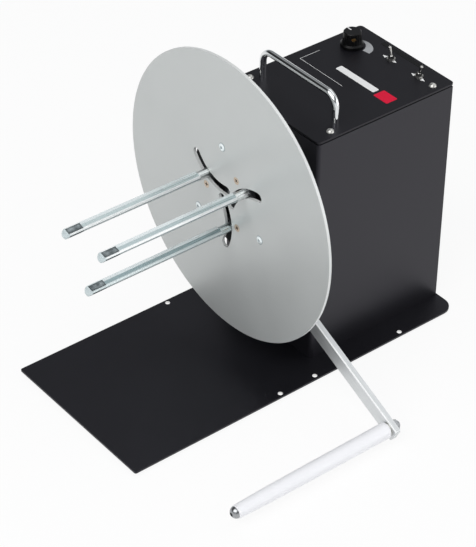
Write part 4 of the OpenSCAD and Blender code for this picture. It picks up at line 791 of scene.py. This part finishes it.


# Core posts
# Round steel bar, drawn, milled flat on three sides, bright zinc plated and fixed to the arms. Its tone is
# painted in bands by angle round the axis, as painted light: cooler flats, a paler round, a painted
# highlight on the edge below each flat and one painted line of shade along the round. The third post is
# painted darker, as painted shade.
flat_angle, neck_length, highlight_band_tone = 75, 0.012, "#dfe6e7"
shade_line_angle, shade_line_half = math.radians(5), math.radians(6.5)
tip_inset, tip_fade = 0.004, 0.0025
level_from, level_to = 2, 3  # sockets of a mix of plain numbers
post_axes = {}
# the third post's tones are painted darker than the others, as painted shade
for arm, flat_tone, round_tone in (
    (1, "#bfcccd", "#eef1f1"), (2, "#b4c2c4", "#f0f3f3"), (3, "#96a9ac", "#d2dcdd"),
):
    pad_points = [v.co for v in parts[f"grip_pads_{arm}"].data.vertices]
    post_axes[arm] = sum(pad_points, Vector()) / len(pad_points)
    tip_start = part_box(f"core_post_{arm}")[0].y + tip_inset
    zinc, tree, out = new_material(f"bright_zinc_plate_{arm}")
    place = add_node(tree, "ShaderNodeTexCoord").outputs["Object"]
    along = add_node(tree, "ShaderNodeMapping", {"Vector": place, "Scale": (1.0, 0.03, 1.0)})
    streak = add_node(tree, "ShaderNodeTexNoise", {
        "Vector": along.outputs[0], "Scale": 1000 / 0.9, "Detail": 3.0})
    spot = add_node(tree, "ShaderNodeSeparateXYZ", {"Vector": place})
    out_x = add_node(tree, "ShaderNodeMath", {
        0: spot.outputs["X"], 1: post_axes[arm].x}, operation="SUBTRACT")
    out_z = add_node(tree, "ShaderNodeMath", {
        0: spot.outputs["Z"], 1: post_axes[arm].z}, operation="SUBTRACT")
    turn = add_node(tree, "ShaderNodeMath", {
        0: out_z.outputs[0], 1: out_x.outputs[0]}, operation="ARCTAN2")
    from_flat = add_node(tree, "ShaderNodeMath", {
        0: turn.outputs[0], 1: math.radians(flat_angle)}, operation="SUBTRACT")
    half_third = math.radians(third / 2)
    in_third = add_node(tree, "ShaderNodeMath", {0: from_flat.outputs[0], 1: half_third, 2: -half_third},
                        operation="WRAP")
    round_third = add_node(tree, "ShaderNodeMapRange", {
        "Value": in_third.outputs[0], "From Min": -half_third, "From Max": half_third})
    bands = add_node(tree, "ShaderNodeValToRGB", {"Fac": round_third.outputs[0]})
    # bands of painted light by angle: a paler round, cooler flats and a painted highlight on the edge band
    band_stops = (
        (-60, round_tone, 0.3), (-40, round_tone, 0.3), (-34, flat_tone, 0.6), (10, flat_tone, 0.6),
        (18, highlight_band_tone, 0.5), (45, highlight_band_tone, 0.5), (47, round_tone, 0.3), (60, round_tone, 0.3),
    )
    stops = bands.color_ramp.elements
    while len(stops) < len(band_stops):
        stops.new(1.0)
    for stop, (degrees, tone, metal) in zip(stops, band_stops):
        stop.position = degrees / third + 0.5
        stop.color = linear(tone)[:3] + (metal,)
    # painted shade: a dark line painted along the round
    painted_shade_line = add_node(tree, "ShaderNodeMath", {0: turn.outputs[0], 1: shade_line_angle, 2: shade_line_half},
                        operation="COMPARE")
    tone = add_node(tree, "ShaderNodeMix", {
        mix_by: painted_shade_line.outputs[0], mix_from: bands.outputs["Color"], mix_to: linear("#8f999b")},
        data_type="RGBA")
    tip = add_node(tree, "ShaderNodeMapRange", {
        "Value": spot.outputs["Y"], "From Min": tip_start, "From Max": tip_start + tip_fade,
        "To Min": 1.0, "To Max": 0.0})
    tone = add_node(tree, "ShaderNodeMix", {
        mix_by: tip.outputs[0], mix_from: tone.outputs[mixed], mix_to: linear("#c9d4d6")}, data_type="RGBA")
    metal = add_node(tree, "ShaderNodeMix", {
        mix_by: tip.outputs[0], level_from: bands.outputs["Alpha"], level_to: 0.2}, data_type="FLOAT")
    neck = add_node(tree, "ShaderNodeMath", {0: spot.outputs["Y"], 1: disc_low.y - neck_length},
                    operation="GREATER_THAN")
    tone = add_node(tree, "ShaderNodeMix", {
        mix_by: neck.outputs[0], mix_from: tone.outputs[mixed], mix_to: linear(round_tone)},
        data_type="RGBA")
    metal = add_node(tree, "ShaderNodeMath", {
        0: metal.outputs[0], 1: neck.outputs[0]}, operation="MAXIMUM")
    gloss = add_node(tree, "ShaderNodeMapRange", {
        "Value": streak.outputs["Fac"], "To Min": 0.2, "To Max": 0.36})
    shade = add_node(tree, "ShaderNodeBsdfPrincipled", {
        "Base Color": tone.outputs[mixed], "Metallic": metal.outputs[0], "Roughness": gloss.outputs[0]})
    tree.links.new(shade.outputs[0], out.inputs["Surface"])
    finish_nodes(zinc, f"core_post_{arm}")


# Grip pads
# Moulded rubber strips pressed into pockets near the post tips, so that a paper core can't slip. They are
# painted paler in the middle, in patches: a painted highlight along the crown.
grip_rubber, tree, out = new_material("grey_nitrile_rubber")
place = add_node(tree, "ShaderNodeTexCoord").outputs["Object"]
grain = add_node(tree, "ShaderNodeTexNoise", {"Vector": place, "Scale": 1000 / 0.6, "Detail": 3.0})
tone = add_node(tree, "ShaderNodeMix", {
    mix_by: grain.outputs["Fac"], mix_from: linear("#343c3f"), mix_to: linear("#515b5e")},
    data_type="RGBA")
along = add_node(tree, "ShaderNodeMapping", {"Vector": place, "Scale": (1.0, 0.5, 1.0)})
patches = add_node(tree, "ShaderNodeTexNoise", {
    "Vector": along.outputs[0], "Scale": 1000 / 4, "Detail": 2.0})
# painted highlight: the pads' middle is painted paler in patches
patchy_highlight = add_node(tree, "ShaderNodeMapRange", {
    "Value": patches.outputs["Fac"], "From Min": 0.38, "From Max": 0.62, "To Min": 0.1, "To Max": 0.95})
middle = add_node(tree, "ShaderNodeAttribute", attribute_name="middle")
painted_highlight = add_node(tree, "ShaderNodeMath", {
    0: patchy_highlight.outputs[0], 1: middle.outputs["Fac"]}, operation="MULTIPLY")
tone = add_node(tree, "ShaderNodeMix", {
    mix_by: painted_highlight.outputs[0], mix_from: tone.outputs[mixed], mix_to: linear("#a3adb0")}, data_type="RGBA")
bump = add_node(tree, "ShaderNodeBump", {
    "Height": grain.outputs["Fac"], "Strength": 0.15, "Distance": 0.0002})
shade = add_node(tree, "ShaderNodeBsdfPrincipled", {
    "Base Color": tone.outputs[mixed], "Roughness": 0.42, "IOR": 1.52, "Normal": bump.outputs[0]})
tree.links.new(shade.outputs[0], out.inputs["Surface"])

pad_width, pad_length, pad_thickness, pad_crown = 0.0064, 0.016, 0.0006, 0.00012
flat_distance, pocket_depth = 0.0039, 0.0005
pad_top, touch = flat_distance - pocket_depth + pad_thickness, 0.00001
smooth_angle = math.radians(40)
for arm in (1, 2, 3):
    pads_node = f"grip_pads_{arm}"
    post_axis = post_axes[arm]
    pads_low, pads_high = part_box(pads_node)
    pads = []
    for turn in (0, third, 2 * third):
        bpy.ops.mesh.primitive_cube_add(size=1.0, location=(0, 0, pad_top - pad_thickness / 2))
        pad = bpy.context.object
        pad.scale = (pad_width, pad_length, pad_thickness)
        bpy.ops.object.transform_apply(location=True, scale=True)
        bpy.ops.object.mode_set(mode="EDIT")
        bpy.ops.mesh.subdivide(number_cuts=7)
        mesh = bmesh.from_edit_mesh(pad.data)
        middle_layer = mesh.verts.layers.float.new("middle")
        for vert in mesh.verts:
            if vert.co.z > pad_top - touch:
                across = 1 - (2 * vert.co.x / pad_width) ** 2
                lengthwise = 1 - (2 * vert.co.y / pad_length) ** 4
                vert[middle_layer] = across * lengthwise
                vert.co.z += pad_crown * across * lengthwise
        bmesh.update_edit_mesh(pad.data)
        bpy.ops.object.mode_set(mode="OBJECT")
        bpy.ops.object.shade_smooth_by_angle(angle=smooth_angle)
        pad.rotation_euler = (0, math.radians(90 - flat_angle + turn), 0)
        pad.location = (post_axis.x, (pads_low.y + pads_high.y) / 2, post_axis.z)
        bpy.ops.object.transform_apply(location=True, rotation=True)
        pads.append(pad)
        bpy.ops.object.select_all(action="DESELECT")
    for pad in pads:
        pad.select_set(True)
    bpy.context.view_layer.objects.active = pads[0]
    bpy.ops.object.join()
    pads[0].name = f"crowned_pads_{arm}"
    pads[0].data.materials.append(grip_rubber)
    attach(pads[0], f"arm_{arm}")
    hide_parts(pads_node)
    bpy.ops.object.select_all(action="DESELECT")


# Dancer arm
# Flat aluminium bar, extruded, sawn and fixed on its shaft: light grey with straight die lines. Its front
# face is sanded to a softer mirror than its edges, and a painted highlight runs along its upper front edge.
bar_slope, bar_half, boss_radius = math.radians(25.05), 0.008, 0.011
bar_ease, face_depth, highlight_width = 0.0007, 0.0002, 0.0011
bar_low, bar_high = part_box("dancer_arm")
bar_top = (bar_high.z - boss_radius) * math.cos(bar_slope) + bar_half
extruded, tree, out = new_material("extruded_aluminium")
place = add_node(tree, "ShaderNodeTexCoord").outputs["Object"]
in_line = add_node(tree, "ShaderNodeMapping", {"Vector": place, "Rotation": (0, -bar_slope, 0)})
along = add_node(tree, "ShaderNodeMapping", {"Vector": in_line.outputs[0], "Scale": (0.03, 1.0, 1.0)})
die_lines = add_node(tree, "ShaderNodeTexNoise", {
    "Vector": along.outputs[0], "Scale": 1000 / 0.8, "Detail": 3.0})
tone = add_node(tree, "ShaderNodeMix", {
    mix_by: die_lines.outputs["Fac"], mix_from: linear("#c6c9ca"), mix_to: linear("#e9ebec")},
    data_type="RGBA")
gloss = add_node(tree, "ShaderNodeMapRange", {
    "Value": die_lines.outputs["Fac"], "To Min": 0.4, "To Max": 0.52})
spot = add_node(tree, "ShaderNodeSeparateXYZ", {"Vector": in_line.outputs[0]})
front_face = add_node(tree, "ShaderNodeMath", {
    0: spot.outputs["Y"], 1: bar_low.y + face_depth}, operation="LESS_THAN")
metal = add_node(tree, "ShaderNodeMapRange", {
    "Value": front_face.outputs[0], "To Min": 0.45, "To Max": 0.8})
# painted highlight: a white line along the upper front edge
near_front = add_node(tree, "ShaderNodeMath", {
    0: spot.outputs["Y"], 1: bar_low.y + highlight_width}, operation="LESS_THAN")
near_top = add_node(tree, "ShaderNodeMath", {
    0: spot.outputs["Z"], 1: bar_top - highlight_width}, operation="GREATER_THAN")
painted_edge_highlight = add_node(tree, "ShaderNodeMath", {
    0: near_front.outputs[0], 1: near_top.outputs[0]}, operation="MULTIPLY")
tone = add_node(tree, "ShaderNodeMix", {
    mix_by: painted_edge_highlight.outputs[0], mix_from: tone.outputs[mixed], mix_to: linear("#fbfcfc")},
    data_type="RGBA")
metal = add_node(tree, "ShaderNodeMix", {
    mix_by: painted_edge_highlight.outputs[0], level_from: metal.outputs[0], level_to: 0.1}, data_type="FLOAT")
shade = add_node(tree, "ShaderNodeBsdfPrincipled", {
    "Base Color": tone.outputs[mixed], "Metallic": metal.outputs[0], "Roughness": gloss.outputs[0]})
tree.links.new(shade.outputs[0], out.inputs["Surface"])
ease_edges("dancer_arm", "dancer_bar", bar_ease, extruded)


# Dancer roller and washers
# A tube of white acetal, turned, on an axle between nickel plated washers: dense, smooth and a little waxy,
# with turning rings 0.5 mm apart, drawn coarser than real ones so that they show.
ring_pitch = 0.000493
acetal, tree, out = new_material("white_acetal")
place = add_node(tree, "ShaderNodeTexCoord").outputs["Object"]
rings = add_node(tree, "ShaderNodeTexWave", {
    "Vector": place, "Scale": math.tau / wave_rate / ring_pitch, "Distortion": 0.6}, bands_direction="Y")
tone = add_node(tree, "ShaderNodeMix", {
    mix_by: rings.outputs["Fac"], mix_from: linear("#eeeef1"), mix_to: linear("#f3f3f6")},
    data_type="RGBA")
bump = add_node(tree, "ShaderNodeBump", {
    "Height": rings.outputs["Fac"], "Strength": 0.03, "Distance": 0.0001})
shade = add_node(tree, "ShaderNodeBsdfPrincipled", {
    "Base Color": tone.outputs[mixed], "Roughness": 0.38, "IOR": 1.48, "Subsurface Weight": 0.08,
    "Subsurface Radius": (0.002, 0.002, 0.002), "Normal": bump.outputs[0]})
tree.links.new(shade.outputs[0], out.inputs["Surface"])
finish_nodes(acetal, "dancer_roller")
finish_nodes(nickel, "roller_washers")
